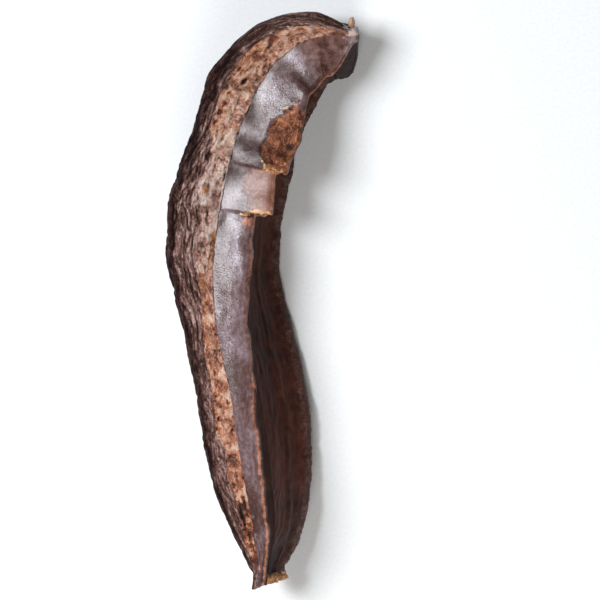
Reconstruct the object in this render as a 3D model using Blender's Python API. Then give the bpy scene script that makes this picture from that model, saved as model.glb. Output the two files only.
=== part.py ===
"""A dried aidan fruit: a curved, slightly twisted pod with four long wings, lying on two of them.

The pod grew as one piece, so it is one solid. Its cross-section is a four-armed star that changes
along the pod: the loft below runs from the stalk end to the tip. Two opposite wings are woody and
thick-edged. The other two are fleshy, and the upper one has lost part of its margin. The broken
stalk is a second solid, set in a socket in the scar at the pod's stalk end.

The pod lies along Y with the stalk end at +Y. Z = 0 is the surface that it rests on.
"""

import math
from dataclasses import dataclass

import bmesh
import bpy
import numpy as np
from mathutils import Matrix, Vector

MM = 0.001
COLLECTION = "aidan_fruit"
CUTTERS = "aidan_fruit_cutters"

# The spine, where the four wings meet: plan positions from the stalk end to the tip, in mm.
SPINE = (
    (34.6, 92.6),
    (18.9, 92.6),
    (4.2, 83.0),
    (-7.0, 62.7),
    (-13.2, 40.1),
    (-16.5, 13.8),
    (-14.6, -8.9),
    (-7.2, -35.2),
    (-1.8, -63.2),
    (0.7, -84.2),
    (0.2, -101.3),
)
SPINE_HEIGHT = 16.2
SPINE_SAMPLES = 600

# Half thickness of a wing where it leaves the seed body, in mm, by share of the length. It grows
# again at the torn tip.
ROOT_HALF = ((0, 1.4), (0.01, 2.0), (0.03, 2.6), (0.12, 4.4), (0.3, 5.4), (0.75, 5.4),
             (0.92, 3.6), (0.965, 2.3), (0.985, 2.6), (1, 2.9))
ROOT_HALF_FULL = 5.4
# How quickly a wing thins from its root to its crest, and its shortest flank in mm.
FLANK_TAPER = 1.7
SHORTEST_FLANK = 0.3
# A crest's largest half thickness as a share of the reach, and the share of it that is flat on top.
CREST_LIMIT = 0.45
CREST_FLAT = 0.45

# The torn tip slants across the pod. The recess in its face is hollow.
SLANT_START = 0.94
SLANT_SLOPE = 0.38
SLANT_FROM_X = -3.5
MOUTH_LIP_SCALE = 0.8
MOUTH_LIP_DEPTH = 0.3
MOUTH_FLOOR_SCALE = 0.5
MOUTH_FLOOR_DEPTH = 2.6
# The scar at the stalk end bulges a little.
SCAR_SCALE = 0.6
SCAR_BULGE = 0.5

# The skin has come off the outer part of the upper fleshy wing and left a shallow hollow.
PEEL_SPAN = ((0.185, 0), (0.198, 1), (0.297, 1), (0.308, 0))
PEEL_START = 0.5
PEEL_DEPTH = 0.8

# Waves along each wing, in turns per pod length, with their weights.
RIPPLE_TURNS = (7.3, 13.9, 27.1)
RIPPLE_WEIGHTS = (1.0, 0.7, 0.4)
RIPPLE_PHASES = (1.0, 2.3, 3.1)

# Sections along the pod and points across each flank of a wing.
STATIONS = 106
BREAK_STATIONS = (0.202, 0.205, 0.2225, 0.226, 0.312, 0.316, 0.319, 0.322, 0.388, 0.392, 0.395,
                  0.398, 0.403)
END_STATIONS = (0.003, 0.007, 0.013, 0.02, 0.985, 0.992, 0.997)
STATION_GAP = 0.002
FLANK_SHARES = (0.3, 0.6, 0.85)

# The broken stalk: points on its middle line and its radius at each of them, in mm.
STALK_LINE = ((32.0, 90.8, 16.9), (32.5, 93.3, 17.2), (33.0, 96.0, 17.5), (33.1, 98.0, 17.8))
STALK_RADII = (1.2, 1.2, 1.2, 0.7)
STALK_SIDES = 14
SOCKET_GAP = 0.35


@dataclass(frozen=True)
class Wing:
    """One wing. Each profile is a row of (share of the length, value) pairs."""

    name: str
    angle: tuple  # degrees from sideways towards up, seen from the tip
    reach: tuple  # spine to crest, mm
    crest: tuple  # half thickness at the crest, mm
    curl: tuple  # degrees that the outer part leans from the root
    ripple: float  # sideways waviness of the outer part, mm
    ripple_phase: float


FLESHY_FRONT = Wing(
    name="fleshy_front",
    angle=((0, 8), (0.135, 13), (0.237, 18), (0.31, 21), (0.395, 25), (0.467, 30.5),
           (0.573, 39), (0.698, 55.5), (0.76, 63), (0.83, 65), (0.93, 67), (1, 67)),
    reach=((0, 2.4), (0.007, 4.7), (0.0155, 9.6), (0.0265, 14.7), (0.036, 16.0), (0.05, 16.3),
           (0.066, 16.4), (0.08, 17.2), (0.113, 18.6), (0.1445, 19.2), (0.165, 19.8),
           (0.19, 21.2), (0.225, 23.7), (0.25, 25.0), (0.31, 25.4), (0.316, 24.9),
           (0.322, 20.4), (0.345, 21.2), (0.388, 23.2), (0.392, 23), (0.398, 15.8),
           (0.467, 17.9), (0.52, 17.6), (0.573, 16.8), (0.698, 15.6), (0.83, 15.2),
           (0.93, 10.5), (0.97, 6.5), (1, 4.6)),
    crest=((0, 1.2), (0.1, 1.4), (0.4, 1.5), (0.8, 1.4), (1, 1.0)),
    curl=((0, 0), (0.2, -3), (0.4, 0), (1, 0)),
    ripple=0.35,
    ripple_phase=0.4,
)
WOODY_LEFT = Wing(
    name="woody_left",
    angle=((0, 100), (0.06, 114), (0.135, 121), (0.21, 125), (0.345, 131), (0.467, 134),
           (0.573, 137), (0.698, 141), (0.83, 144), (0.93, 145), (1, 150)),
    reach=((0, 2.4), (0.012, 4.4), (0.03, 7.6), (0.06, 12.0), (0.09, 14.2), (0.135, 16.9),
           (0.18, 19.0), (0.21, 20.4), (0.232, 18.8), (0.28, 17.4), (0.345, 19.4),
           (0.395, 20.5), (0.43, 19.6), (0.467, 19.4), (0.52, 16.3), (0.573, 14.4),
           (0.63, 15.0), (0.76, 16.9), (0.83, 15.7), (0.88, 13.2), (0.93, 9.1), (0.95, 6.9),
           (0.965, 5.1), (0.977, 3.4), (1, 3.2)),
    crest=((0, 0.9), (0.03, 1.6), (0.06, 2.4), (0.25, 3.4), (0.45, 3.8), (0.6, 3.2),
           (0.8, 2.6), (1, 1.2)),
    curl=((0, 0), (0.5, 4), (1, 0)),
    ripple=0.3,
    ripple_phase=1.9,
)
FLESHY_BACK = Wing(
    name="fleshy_back",
    angle=((0, 195), (0.135, 205), (0.237, 213), (0.345, 219), (0.467, 225), (0.573, 229),
           (0.698, 235), (0.83, 241), (1, 245)),
    reach=((0, 1.9), (0.018, 2.4), (0.026, 2.8), (0.035, 3.9), (0.053, 6.1), (0.09, 10),
           (0.15, 15), (0.2, 19), (0.206, 17.0), (0.222, 17.0), (0.228, 20.2), (0.3, 22.6),
           (0.4, 24.9), (0.467, 23.6), (0.573, 22.1), (0.698, 20.35), (0.83, 19.05),
           (0.9, 15.5), (0.96, 10), (1, 4.0)),
    crest=((0, 1.4), (0.1, 2.0), (0.4, 2.6), (0.8, 2.2), (1, 1.2)),
    curl=((0, 0), (1, 0)),
    ripple=0.7,
    ripple_phase=3.0,
)
WOODY_RIGHT = Wing(
    name="woody_right",
    angle=((0, 310), (0.045, 314.5), (0.09, 312.5), (0.135, 313.5), (0.237, 314), (0.345, 315),
           (0.467, 315), (0.573, 318), (0.698, 322), (0.83, 325), (1, 328)),
    reach=((0, 2.6), (0.006, 8.2), (0.0085, 11.6), (0.013, 15.2), (0.018, 18.3), (0.027, 20.1),
           (0.038, 20.8), (0.055, 20.5), (0.075, 21.1), (0.1, 21.0), (0.135, 22.8),
           (0.19, 23.2), (0.237, 23.2), (0.345, 23.6), (0.467, 23.4), (0.573, 25.2),
           (0.698, 24.0), (0.83, 20.0), (0.93, 12.3), (0.95, 9.5), (0.967, 7.7), (0.983, 7.4),
           (0.992, 8.2), (1, 8.4)),
    crest=((0, 1.3), (0.1, 1.7), (0.5, 1.9), (0.85, 1.7), (1, 1.1)),
    curl=((0, 0), (0.6, 3), (1, 0)),
    ripple=0.35,
    ripple_phase=5.1,
)
WINGS = (FLESHY_FRONT, WOODY_LEFT, FLESHY_BACK, WOODY_RIGHT)


def profile(pairs, at):
    """A smooth curve through the pairs that never swings past them."""
    x = np.array([p[0] for p in pairs], float)
    y = np.array([p[1] for p in pairs], float)
    width = np.diff(x)
    rise = np.diff(y) / width
    slope = np.empty_like(y)
    slope[0], slope[-1] = rise[0], rise[-1]
    turns = rise[:-1] * rise[1:] <= 0
    blended = 2 * rise[:-1] * rise[1:] / np.where(turns, 1, rise[:-1] + rise[1:])
    slope[1:-1] = np.where(turns, 0, blended)
    at = np.clip(np.asarray(at, float), x[0], x[-1])
    i = np.clip(np.searchsorted(x, at, side="right") - 1, 0, len(width) - 1)
    s = (at - x[i]) / width[i]
    return (
        (2 * s**3 - 3 * s**2 + 1) * y[i]
        + (s**3 - 2 * s**2 + s) * width[i] * slope[i]
        + (3 * s**2 - 2 * s**3) * y[i + 1]
        + (s**3 - s**2) * width[i] * slope[i + 1]
    )


def catmull_rom(points, samples):
    """Points along one smooth open curve through the given ones."""
    p = np.vstack([2 * points[0] - points[1], points, 2 * points[-1] - points[-2]])
    u = np.linspace(0, len(points) - 1, samples)
    i = np.minimum(u.astype(int), len(points) - 2)
    s = (u - i)[:, None]
    a, b, c, d = p[i], p[i + 1], p[i + 2], p[i + 3]
    return 0.5 * (
        2 * b + (c - a) * s + (2 * a - 5 * b + 4 * c - d) * s**2 + (3 * b - 3 * c + d - a) * s**3
    )


def spine_frames(shares):
    """Centre and sideways direction of the spine at each share of its length, in mm."""
    line = catmull_rom(np.array(SPINE, float), SPINE_SAMPLES)
    steps = np.hypot(*np.diff(line, axis=0).T)
    along = np.concatenate([[0], np.cumsum(steps)])
    along /= along[-1]
    plan = np.column_stack([np.interp(shares, along, line[:, k]) for k in (0, 1)])
    tangent = np.gradient(line, along, axis=0)
    tangent = np.column_stack([np.interp(shares, along, tangent[:, k]) for k in (0, 1)])
    tangent /= np.linalg.norm(tangent, axis=1)[:, None]
    centre = np.column_stack([plan, np.full(len(shares), SPINE_HEIGHT)])
    side = np.column_stack([-tangent[:, 1], tangent[:, 0], np.zeros(len(shares))])
    return centre, side


def ripple_wave(share, phase):
    """Uneven waves along a wing, between about -2 and 2."""
    return sum(
        weight * math.sin(2 * math.pi * turns * share + phase * lag)
        for turns, weight, lag in zip(RIPPLE_TURNS, RIPPLE_WEIGHTS, RIPPLE_PHASES)
    )


def wing_point(wing, share, root, along, out, sideways):
    """A point of the section, in mm from the spine: (to the side, up).

    out is the distance from the spine, sideways the offset from the wing's middle plane, and
    along (0 at the root, 1 at the crest) says how far the curl and the ripple have grown.
    """
    angle = math.radians(profile(wing.angle, share))
    angle += math.radians(profile(wing.curl, share)) * along**2
    swing = wing.ripple * ripple_wave(share, wing.ripple_phase) * along**1.5
    sideways += swing * min(1.0, root / ROOT_HALF_FULL)
    return (
        out * math.cos(angle) - sideways * math.sin(angle),
        out * math.sin(angle) + sideways * math.cos(angle),
    )


def peel(wing, share, q, turn):
    """Depth of the peeled hollow at this point of a flank, in mm."""
    if wing is not FLESHY_FRONT or turn < 0 or q < PEEL_START:
        return 0.0
    return PEEL_DEPTH * float(profile(PEEL_SPAN, share))


def section(share):
    """The star-shaped outline at one share of the length, counter-clockwise, in mm."""
    root = float(profile(ROOT_HALF, share))
    angles = [float(profile(w.angle, share)) for w in WINGS]
    gaps = [(angles[(k + 1) % 4] - angles[k]) % 360 for k in range(4)]
    outline = []
    for k, wing in enumerate(WINGS):
        reach = float(profile(wing.reach, share))
        crest = min(float(profile(wing.crest, share)), CREST_LIMIT * reach)
        before = root / math.tan(math.radians(gaps[k - 1] / 2))
        after = root / math.tan(math.radians(gaps[k] / 2))
        shoulder = reach - crest

        def flank(start, q, turn):
            out = start + (max(shoulder, start + SHORTEST_FLANK) - start) * q
            thick = crest + max(root - crest, 0) * (1 - q) ** FLANK_TAPER
            thick -= peel(wing, share, q, turn)
            return wing_point(wing, share, root, q, out, turn * thick)

        tip = max(reach, max(before, after) + 2 * SHORTEST_FLANK)
        outline += [flank(before, q, -1) for q in (0.0, *FLANK_SHARES, 1.0)]
        outline.append(wing_point(wing, share, root, 1, tip, -CREST_FLAT * crest))
        outline.append(wing_point(wing, share, root, 1, tip, CREST_FLAT * crest))
        outline += [flank(after, q, 1) for q in (1.0, *FLANK_SHARES[::-1])]
    return np.array(outline)


def pod_rings(shares):
    """One ring of points for each share of the length, in mm, flattened where it rests."""
    centre, side = spine_frames(shares)
    rings = []
    for c, s, share in zip(centre, side, shares):
        flat = section(share)
        ring = c + flat[:, :1] * s + flat[:, 1:] * np.array([0, 0, 1.0])
        slant = np.clip((share - SLANT_START) / (1 - SLANT_START), 0, 1) ** 2
        ring[:, 1] += slant * SLANT_SLOPE * (ring[:, 0] - SLANT_FROM_X)
        ring[:, 2] = np.maximum(ring[:, 2], 0.0)
        rings.append(ring)
    return rings


def scaled_ring(ring, scale, shift):
    """The ring drawn in towards its middle, then moved by shift, in mm."""
    middle = ring.mean(axis=0)
    return middle + (ring - middle) * scale + np.array(shift)


def station_shares():
    """Sections along the pod, closer together at the broken edges of the wings and the ends."""
    extra = np.array(BREAK_STATIONS + END_STATIONS)
    even = np.linspace(0, 1, STATIONS)
    near = np.abs(even[:, None] - extra).min(axis=1) < STATION_GAP
    return np.sort(np.concatenate([even[~near], extra]))


def closed_rings():
    """All rings of the pod, with the bulge of the scar and the recess in the torn tip."""
    rings = pod_rings(station_shares())
    first, last = rings[0], rings[-1]
    return (
        [scaled_ring(first, SCAR_SCALE, (SCAR_BULGE, 0, 0))]
        + rings
        + [
            scaled_ring(last, MOUTH_LIP_SCALE, (0, MOUTH_LIP_DEPTH, 0)),
            scaled_ring(last, MOUTH_FLOOR_SCALE, (0, MOUTH_FLOOR_DEPTH, 0)),
        ]
    )


def stalk_rings(grow):
    """Rings of the broken stalk, thicker and longer at the foot by grow, in mm."""
    line = np.array(STALK_LINE, float)
    foot = line[1] - line[0]
    line[0] -= foot / np.linalg.norm(foot) * grow
    tangent = np.gradient(line, axis=0)
    rings = []
    for centre, direction, radius in zip(line, tangent, STALK_RADII):
        along = direction / np.linalg.norm(direction)
        across = np.cross(along, (0, 0, 1.0))
        across /= np.linalg.norm(across)
        upward = np.cross(across, along)
        turns = np.arange(STALK_SIDES) * 2 * math.pi / STALK_SIDES
        circle = np.outer(np.cos(turns), across) + np.outer(np.sin(turns), upward)
        rings.append(centre + circle * (radius + grow))
    return rings


def skin(name, rings):
    """A closed mesh through the rings, with a fan of faces over each end."""
    form = bmesh.new()
    rows = [[form.verts.new(Vector(p) * MM) for p in ring] for ring in rings]
    count = len(rows[0])
    for near, far in zip(rows, rows[1:]):
        for i in range(count):
            j = (i + 1) % count
            form.faces.new((near[i], far[i], far[j], near[j]))
    for row in (rows[0], rows[-1]):
        middle = sum((v.co for v in row), Vector()) / count
        hub = form.verts.new(middle)
        for i in range(count):
            form.faces.new((row[i], row[(i + 1) % count], hub))
    bmesh.ops.recalc_face_normals(form, faces=form.faces)
    mesh = bpy.data.meshes.new(name)
    form.to_mesh(mesh)
    form.free()
    return mesh


def finish(name, colour, roughness):
    """A plain material in the part's colour."""
    material = bpy.data.materials.new(name)
    material.use_nodes = True
    shader = material.node_tree.nodes["Principled BSDF"]
    shader.inputs["Base Color"].default_value = (*colour, 1)
    shader.inputs["Roughness"].default_value = roughness
    shader.inputs["Metallic"].default_value = 0
    return material


def place(name, rings, collection):
    """An object through the rings, in the collection."""
    placed = bpy.data.objects.new(name, skin(name, rings))
    collection.objects.link(placed)
    return placed


def cut(body, cutter):
    """Takes the cutter's shape out of the body."""
    modifier = body.modifiers.new(cutter.name, "BOOLEAN")
    modifier.operation = "DIFFERENCE"
    modifier.object = cutter
    cutter.hide_render = True
    cutter.display_type = "WIRE"


def centre_over_origin(bodies, followers):
    """Moves everything so that the bodies' box is centred over the origin in plan."""
    corners = [v.co for body in bodies for v in body.data.vertices]
    middle = Vector(
        (min(c[k] for c in corners) + max(c[k] for c in corners)) / 2 if k < 2 else 0.0
        for k in range(3)
    )
    for moved in bodies + followers:
        moved.data.transform(Matrix.Translation(-middle))


def main():
    for old in list(bpy.data.objects):
        bpy.data.objects.remove(old)
    parts = bpy.data.collections.new(COLLECTION)
    cutters = bpy.data.collections.new(CUTTERS)
    for collection in (parts, cutters):
        bpy.context.scene.collection.children.link(collection)
    pod = place("pod", closed_rings(), parts)
    stalk = place("stalk_stub", stalk_rings(0.0), parts)
    socket = place("stalk_socket", stalk_rings(SOCKET_GAP), cutters)
    cut(pod, socket)
    centre_over_origin([pod, stalk], [socket])
    pod.data.materials.append(finish("pod_skin", (0.16, 0.08, 0.06), 0.45))
    stalk.data.materials.append(finish("dry_stalk", (0.42, 0.26, 0.17), 0.75))


main()
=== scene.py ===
"""A dried aidan fruit lying on a pale studio floor: its bark, fleshy skin, torn edges and stalk."""

import logging
import math
from dataclasses import dataclass, field
from enum import IntEnum
from functools import partial
from typing import Optional

import bpy
import numpy as np
from mathutils import Matrix, Vector


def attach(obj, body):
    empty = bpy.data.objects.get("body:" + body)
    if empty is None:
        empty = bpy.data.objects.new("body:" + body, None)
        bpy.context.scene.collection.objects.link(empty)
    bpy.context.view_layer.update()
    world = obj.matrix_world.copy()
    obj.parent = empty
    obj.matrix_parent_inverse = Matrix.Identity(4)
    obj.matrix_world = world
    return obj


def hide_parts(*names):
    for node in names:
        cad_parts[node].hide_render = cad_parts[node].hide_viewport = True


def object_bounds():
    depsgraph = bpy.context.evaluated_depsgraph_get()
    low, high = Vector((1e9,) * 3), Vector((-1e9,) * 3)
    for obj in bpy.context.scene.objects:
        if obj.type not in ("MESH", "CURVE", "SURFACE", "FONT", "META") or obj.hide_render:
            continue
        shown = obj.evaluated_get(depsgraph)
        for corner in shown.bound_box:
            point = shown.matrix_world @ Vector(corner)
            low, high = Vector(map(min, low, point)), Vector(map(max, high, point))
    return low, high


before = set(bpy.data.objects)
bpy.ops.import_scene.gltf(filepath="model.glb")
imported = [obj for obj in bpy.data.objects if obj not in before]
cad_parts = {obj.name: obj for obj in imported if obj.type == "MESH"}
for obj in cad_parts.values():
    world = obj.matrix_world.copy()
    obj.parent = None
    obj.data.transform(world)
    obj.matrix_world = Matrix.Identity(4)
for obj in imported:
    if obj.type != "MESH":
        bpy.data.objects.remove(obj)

log = logging.getLogger("aidan_fruit")

MM = 0.001
CAD_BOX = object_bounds()
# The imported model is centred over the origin, which moves the spine's plan by this much, in mm.
PLAN_SHIFT = np.array([-0.271, 0.588, 0.0])

Span = tuple[float, float]
Pairs = tuple[Span, ...]
Colour = tuple[float, float, float]
Stops = tuple[tuple[float, Colour], ...]


class Face(IntEnum):
    """The three faces that run along a wing."""

    CLOCKWISE = -1
    CREST = 0
    COUNTER = 1


class WingPlace(IntEnum):
    """The wings, counter-clockwise seen from the tip."""

    FLESHY_FRONT = 0
    WOODY_LEFT = 1
    FLESHY_BACK = 2
    WOODY_RIGHT = 3


def smooth_step(low: float, high: float, value: np.ndarray) -> np.ndarray:
    """Rises smoothly from 0 at low to 1 at high.

    Args:
        low: Where the rise starts.
        high: Where it ends, which may be below low for a fall.
        value: The values to grade.

    Returns:
        An array like value, between 0 and 1.
    """
    s = np.clip((value - low) / (high - low), 0.0, 1.0)
    return s * s * (3 - 2 * s)


def window(rise: Span, fall: Span, value: np.ndarray) -> np.ndarray:
    """Rises smoothly from 0 to 1 over one span, and falls back to 0 over a later one."""
    return smooth_step(*rise, value) * smooth_step(*fall, value)


def bell(distance: np.ndarray, width: object) -> np.ndarray:
    """1 where the distance is zero, falling away on both sides over the width."""
    return np.exp(-((distance / width) ** 2))


def profile(pairs: Pairs, at: np.ndarray) -> np.ndarray:
    """A smooth curve through the pairs that never swings past them.

    Args:
        pairs: Rows of (share of the pod's length, value).
        at: The shares to read it at.

    Returns:
        The values there.
    """
    x = np.array([p[0] for p in pairs], float)
    y = np.array([p[1] for p in pairs], float)
    width = np.diff(x)
    rise = np.diff(y) / width
    slope = np.empty_like(y)
    slope[0], slope[-1] = rise[0], rise[-1]
    turns = rise[:-1] * rise[1:] <= 0
    blended = 2 * rise[:-1] * rise[1:] / np.where(turns, 1, rise[:-1] + rise[1:])
    slope[1:-1] = np.where(turns, 0, blended)
    at = np.clip(np.asarray(at, float), x[0], x[-1])
    i = np.clip(np.searchsorted(x, at, side="right") - 1, 0, len(width) - 1)
    s = (at - x[i]) / width[i]
    return (
        (2 * s**3 - 3 * s**2 + 1) * y[i]
        + (s**3 - 2 * s**2 + s) * width[i] * slope[i]
        + (3 * s**2 - 2 * s**3) * y[i + 1]
        + (s**3 - s**2) * width[i] * slope[i + 1]
    )


@dataclass(frozen=True)
class Grain:
    """Smooth random relief that comes out the same on every run."""

    seed: int

    def _corner(self, cell: np.ndarray, offset: np.ndarray) -> np.ndarray:
        """The pull of one lattice corner on the points near it.

        Args:
            cell: Whole-number corner of each point's lattice cell.
            offset: Each point's place relative to that corner.

        Returns:
            The dot product of the corner's random direction with the offset.
        """
        key = cell[..., 0] * 73856093 ^ cell[..., 1] * 19349663 ^ cell[..., 2] * 83492791
        key = (key ^ (self.seed * 2654435761)) & 0xFFFFFFFF
        key = (key * 1103515245 + 12345) & 0x7FFFFFFF
        key = (key ^ (key >> 13)) * 1274126177 & 0x7FFFFFFF
        turn = (key & 0xFFFF) / 65536.0 * 2 * math.pi
        rise = ((key >> 15) & 0xFFFF) / 32768.0 - 1.0
        level = np.sqrt(np.maximum(0.0, 1 - np.clip(rise, -1, 1) ** 2))
        return (
            offset[..., 0] * level * np.cos(turn)
            + offset[..., 1] * level * np.sin(turn)
            + offset[..., 2] * np.clip(rise, -1, 1)
        )

    def at(self, points: np.ndarray) -> np.ndarray:
        """Gradient noise at the points, about -1 to 1, with features one unit across.

        Args:
            points: An array whose last axis holds x, y, z.

        Returns:
            One value for each point.
        """
        base = np.floor(points).astype(np.int64)
        part = points - base
        fade = part**3 * (part * (part * 6 - 15) + 10)
        total = np.zeros(points.shape[:-1])
        for corner in np.ndindex(2, 2, 2):
            step = np.array(corner)
            weight = np.prod(np.where(step == 1, fade, 1 - fade), axis=-1)
            total += weight * self._corner(base + step, part - step)
        return total * 1.6

    def layered(self, points: np.ndarray, octaves: int) -> np.ndarray:
        """Noise with finer and fainter layers on top of it.

        Args:
            points: An array whose last axis holds x, y, z.
            octaves: The number of layers.

        Returns:
            One value for each point, about -1 to 1.
        """
        total = np.zeros(points.shape[:-1])
        for layer in range(octaves):
            total += Grain(self.seed + 17 * layer).at(points * 2.03**layer) * 0.5**layer
        return total


@dataclass(frozen=True)
class Wing:
    """One wing. Each profile is a row of (share of the pod's length, value) pairs."""

    angle: Pairs  # degrees from sideways towards up, seen from the tip
    reach: Pairs  # spine to crest, mm
    crest: Pairs  # half thickness at the crest, mm
    curl: Pairs  # degrees that the outer part leans from the root
    ripple: float  # sideways waviness of the outer part, mm
    ripple_phase: float
    chips: float = 0.15  # depth of the chips off its margin, as a share of the deepest
    chips_from: Span = (0.1, 0.2)  # shares of the length over which they begin
    chips_until: Span = (0.95, 0.9)  # and over which they end, the far share first


@dataclass(frozen=True)
class PodForm:
    """The pod's shape: a four-armed star section carried along a curved spine, in mm."""

    spine: Pairs = (
        (34.6, 92.6), (18.9, 92.6), (4.2, 83.0), (-7.0, 62.7), (-13.2, 40.1), (-16.5, 13.8),
        (-14.6, -8.9), (-7.2, -35.2), (-1.8, -63.2), (0.7, -84.2), (0.2, -101.3),
    )
    height: float = 16.2
    samples: int = 600
    root_half: Pairs = ((0, 1.4), (0.01, 2.0), (0.03, 2.6), (0.12, 4.4), (0.3, 5.4),
                        (0.75, 5.4), (0.92, 3.6), (0.965, 2.3), (0.985, 2.6), (1, 2.9))
    root_half_full: float = 5.4
    flank_taper: float = 1.7
    slant_start: float = 0.94
    slant_slope: float = 0.38
    slant_from_x: float = -3.5
    ripple_turns: tuple[float, ...] = (7.3, 13.9, 27.1)
    ripple_weights: tuple[float, ...] = (1.0, 0.7, 0.4)
    ripple_phases: tuple[float, ...] = (1.0, 2.3, 3.1)
    crest_roundness: float = 2.5
    wings: tuple[Wing, ...] = (
        Wing(
            angle=((0, 8), (0.135, 13), (0.237, 18), (0.31, 21), (0.395, 25), (0.467, 30.5),
                   (0.573, 39), (0.698, 55.5), (0.76, 63), (0.83, 65), (0.93, 67), (1, 67)),
            reach=((0, 2.4), (0.007, 4.7), (0.0155, 9.6), (0.0265, 14.7), (0.036, 16.0),
                   (0.05, 16.3), (0.066, 16.4), (0.08, 17.2), (0.113, 18.6), (0.1445, 19.2),
                   (0.165, 19.8), (0.19, 21.2), (0.225, 23.7), (0.25, 25.0), (0.31, 25.4),
                   (0.316, 24.9), (0.322, 20.4), (0.345, 21.2), (0.388, 23.2), (0.392, 23),
                   (0.398, 15.8), (0.467, 17.9), (0.52, 17.6), (0.573, 16.8), (0.698, 15.6),
                   (0.83, 15.2), (0.93, 10.5), (0.97, 6.5), (1, 4.6)),
            crest=((0, 1.2), (0.1, 1.4), (0.4, 1.5), (0.8, 1.4), (1, 1.0)),
            curl=((0, 0), (0.2, -3), (0.4, 0), (1, 0)),
            ripple=0.35,
            ripple_phase=0.4,
            chips=0.35,
            chips_from=(0.39, 0.41),
        ),
        Wing(
            angle=((0, 100), (0.06, 114), (0.135, 121), (0.21, 125), (0.345, 131),
                   (0.467, 134), (0.573, 137), (0.698, 141), (0.83, 144), (0.93, 145),
                   (1, 150)),
            reach=((0, 2.4), (0.012, 4.4), (0.03, 7.6), (0.06, 12.0), (0.09, 14.2),
                   (0.135, 16.9), (0.18, 19.0), (0.21, 20.4), (0.232, 18.8), (0.28, 17.4),
                   (0.345, 19.4), (0.395, 20.5), (0.43, 19.6), (0.467, 19.4), (0.52, 16.3),
                   (0.573, 14.4), (0.63, 15.0), (0.76, 16.9), (0.83, 15.7), (0.88, 13.2),
                   (0.93, 9.1), (0.95, 6.9), (0.965, 5.1), (0.977, 3.4), (1, 3.2)),
            crest=((0, 0.9), (0.03, 1.6), (0.06, 2.4), (0.25, 3.4), (0.45, 3.8), (0.6, 3.2),
                   (0.8, 2.6), (1, 1.2)),
            curl=((0, 0), (0.5, 4), (1, 0)),
            ripple=0.3,
            ripple_phase=1.9,
            chips=0.5,
            chips_from=(0.02, 0.06),
            chips_until=(0.98, 0.94),
        ),
        Wing(
            angle=((0, 195), (0.135, 205), (0.237, 213), (0.345, 219), (0.467, 225),
                   (0.573, 229), (0.698, 235), (0.83, 241), (1, 245)),
            reach=((0, 1.9), (0.018, 2.4), (0.026, 2.8), (0.035, 3.9), (0.053, 6.1),
                   (0.09, 10), (0.15, 15), (0.2, 19), (0.206, 17.0), (0.222, 17.0),
                   (0.228, 20.2), (0.3, 22.6), (0.4, 24.9), (0.467, 23.6), (0.573, 22.1),
                   (0.698, 20.35), (0.83, 19.05), (0.9, 15.5), (0.96, 10), (1, 4.0)),
            crest=((0, 1.4), (0.1, 2.0), (0.4, 2.6), (0.8, 2.2), (1, 1.2)),
            curl=((0, 0), (1, 0)),
            ripple=0.7,
            ripple_phase=3.0,
        ),
        Wing(
            angle=((0, 310), (0.045, 314.5), (0.09, 312.5), (0.135, 313.5), (0.237, 314),
                   (0.345, 315), (0.467, 315), (0.573, 318), (0.698, 322), (0.83, 325),
                   (1, 328)),
            reach=((0, 2.6), (0.006, 8.2), (0.0085, 11.6), (0.013, 15.2), (0.018, 18.3),
                   (0.027, 20.1), (0.038, 20.8), (0.055, 20.5), (0.075, 21.1), (0.1, 21.0),
                   (0.135, 22.8), (0.19, 23.2), (0.237, 23.2), (0.345, 23.6), (0.467, 23.4),
                   (0.573, 25.2), (0.698, 24.0), (0.83, 20.0), (0.93, 12.3), (0.95, 9.5),
                   (0.967, 7.7), (0.983, 7.4), (0.992, 8.2), (1, 8.4)),
            crest=((0, 1.3), (0.1, 1.7), (0.5, 1.9), (0.85, 1.7), (1, 1.1)),
            curl=((0, 0), (0.6, 3), (1, 0)),
            ripple=0.35,
            ripple_phase=5.1,
        ),
    )

    def spine_line(self) -> tuple[np.ndarray, np.ndarray, float]:
        """Points along the smooth spine, the share of its length at each, and its length.

        Returns:
            The plan points, their shares and the length in mm.
        """
        given = np.array(self.spine, float)
        p = np.vstack([2 * given[0] - given[1], given, 2 * given[-1] - given[-2]])
        u = np.linspace(0, len(given) - 1, self.samples)
        i = np.minimum(u.astype(int), len(given) - 2)
        s = (u - i)[:, None]
        a, b, c, d = p[i], p[i + 1], p[i + 2], p[i + 3]
        line = 0.5 * (
            2 * b + (c - a) * s + (2 * a - 5 * b + 4 * c - d) * s**2
            + (3 * b - 3 * c + d - a) * s**3
        )
        along = np.concatenate([[0], np.cumsum(np.hypot(*np.diff(line, axis=0).T))])
        return line, along / along[-1], float(along[-1])

    def frames(self, shares: np.ndarray) -> tuple[np.ndarray, np.ndarray, np.ndarray]:
        """Centre, sideways direction and forward direction of the spine.

        Args:
            shares: Shares of the pod's length.

        Returns:
            Three arrays with one row for each share, in mm.
        """
        line, along, _ = self.spine_line()
        plan = np.column_stack([np.interp(shares, along, line[:, k]) for k in (0, 1)])
        slope = np.gradient(line, along, axis=0)
        tangent = np.column_stack([np.interp(shares, along, slope[:, k]) for k in (0, 1)])
        tangent /= np.linalg.norm(tangent, axis=1)[:, None]
        flat = np.zeros(len(shares))
        centre = np.column_stack([plan, np.full(len(shares), self.height)]) + PLAN_SHIFT
        side = np.column_stack([-tangent[:, 1], tangent[:, 0], flat])
        return centre, side, np.column_stack([tangent, flat])

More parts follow.
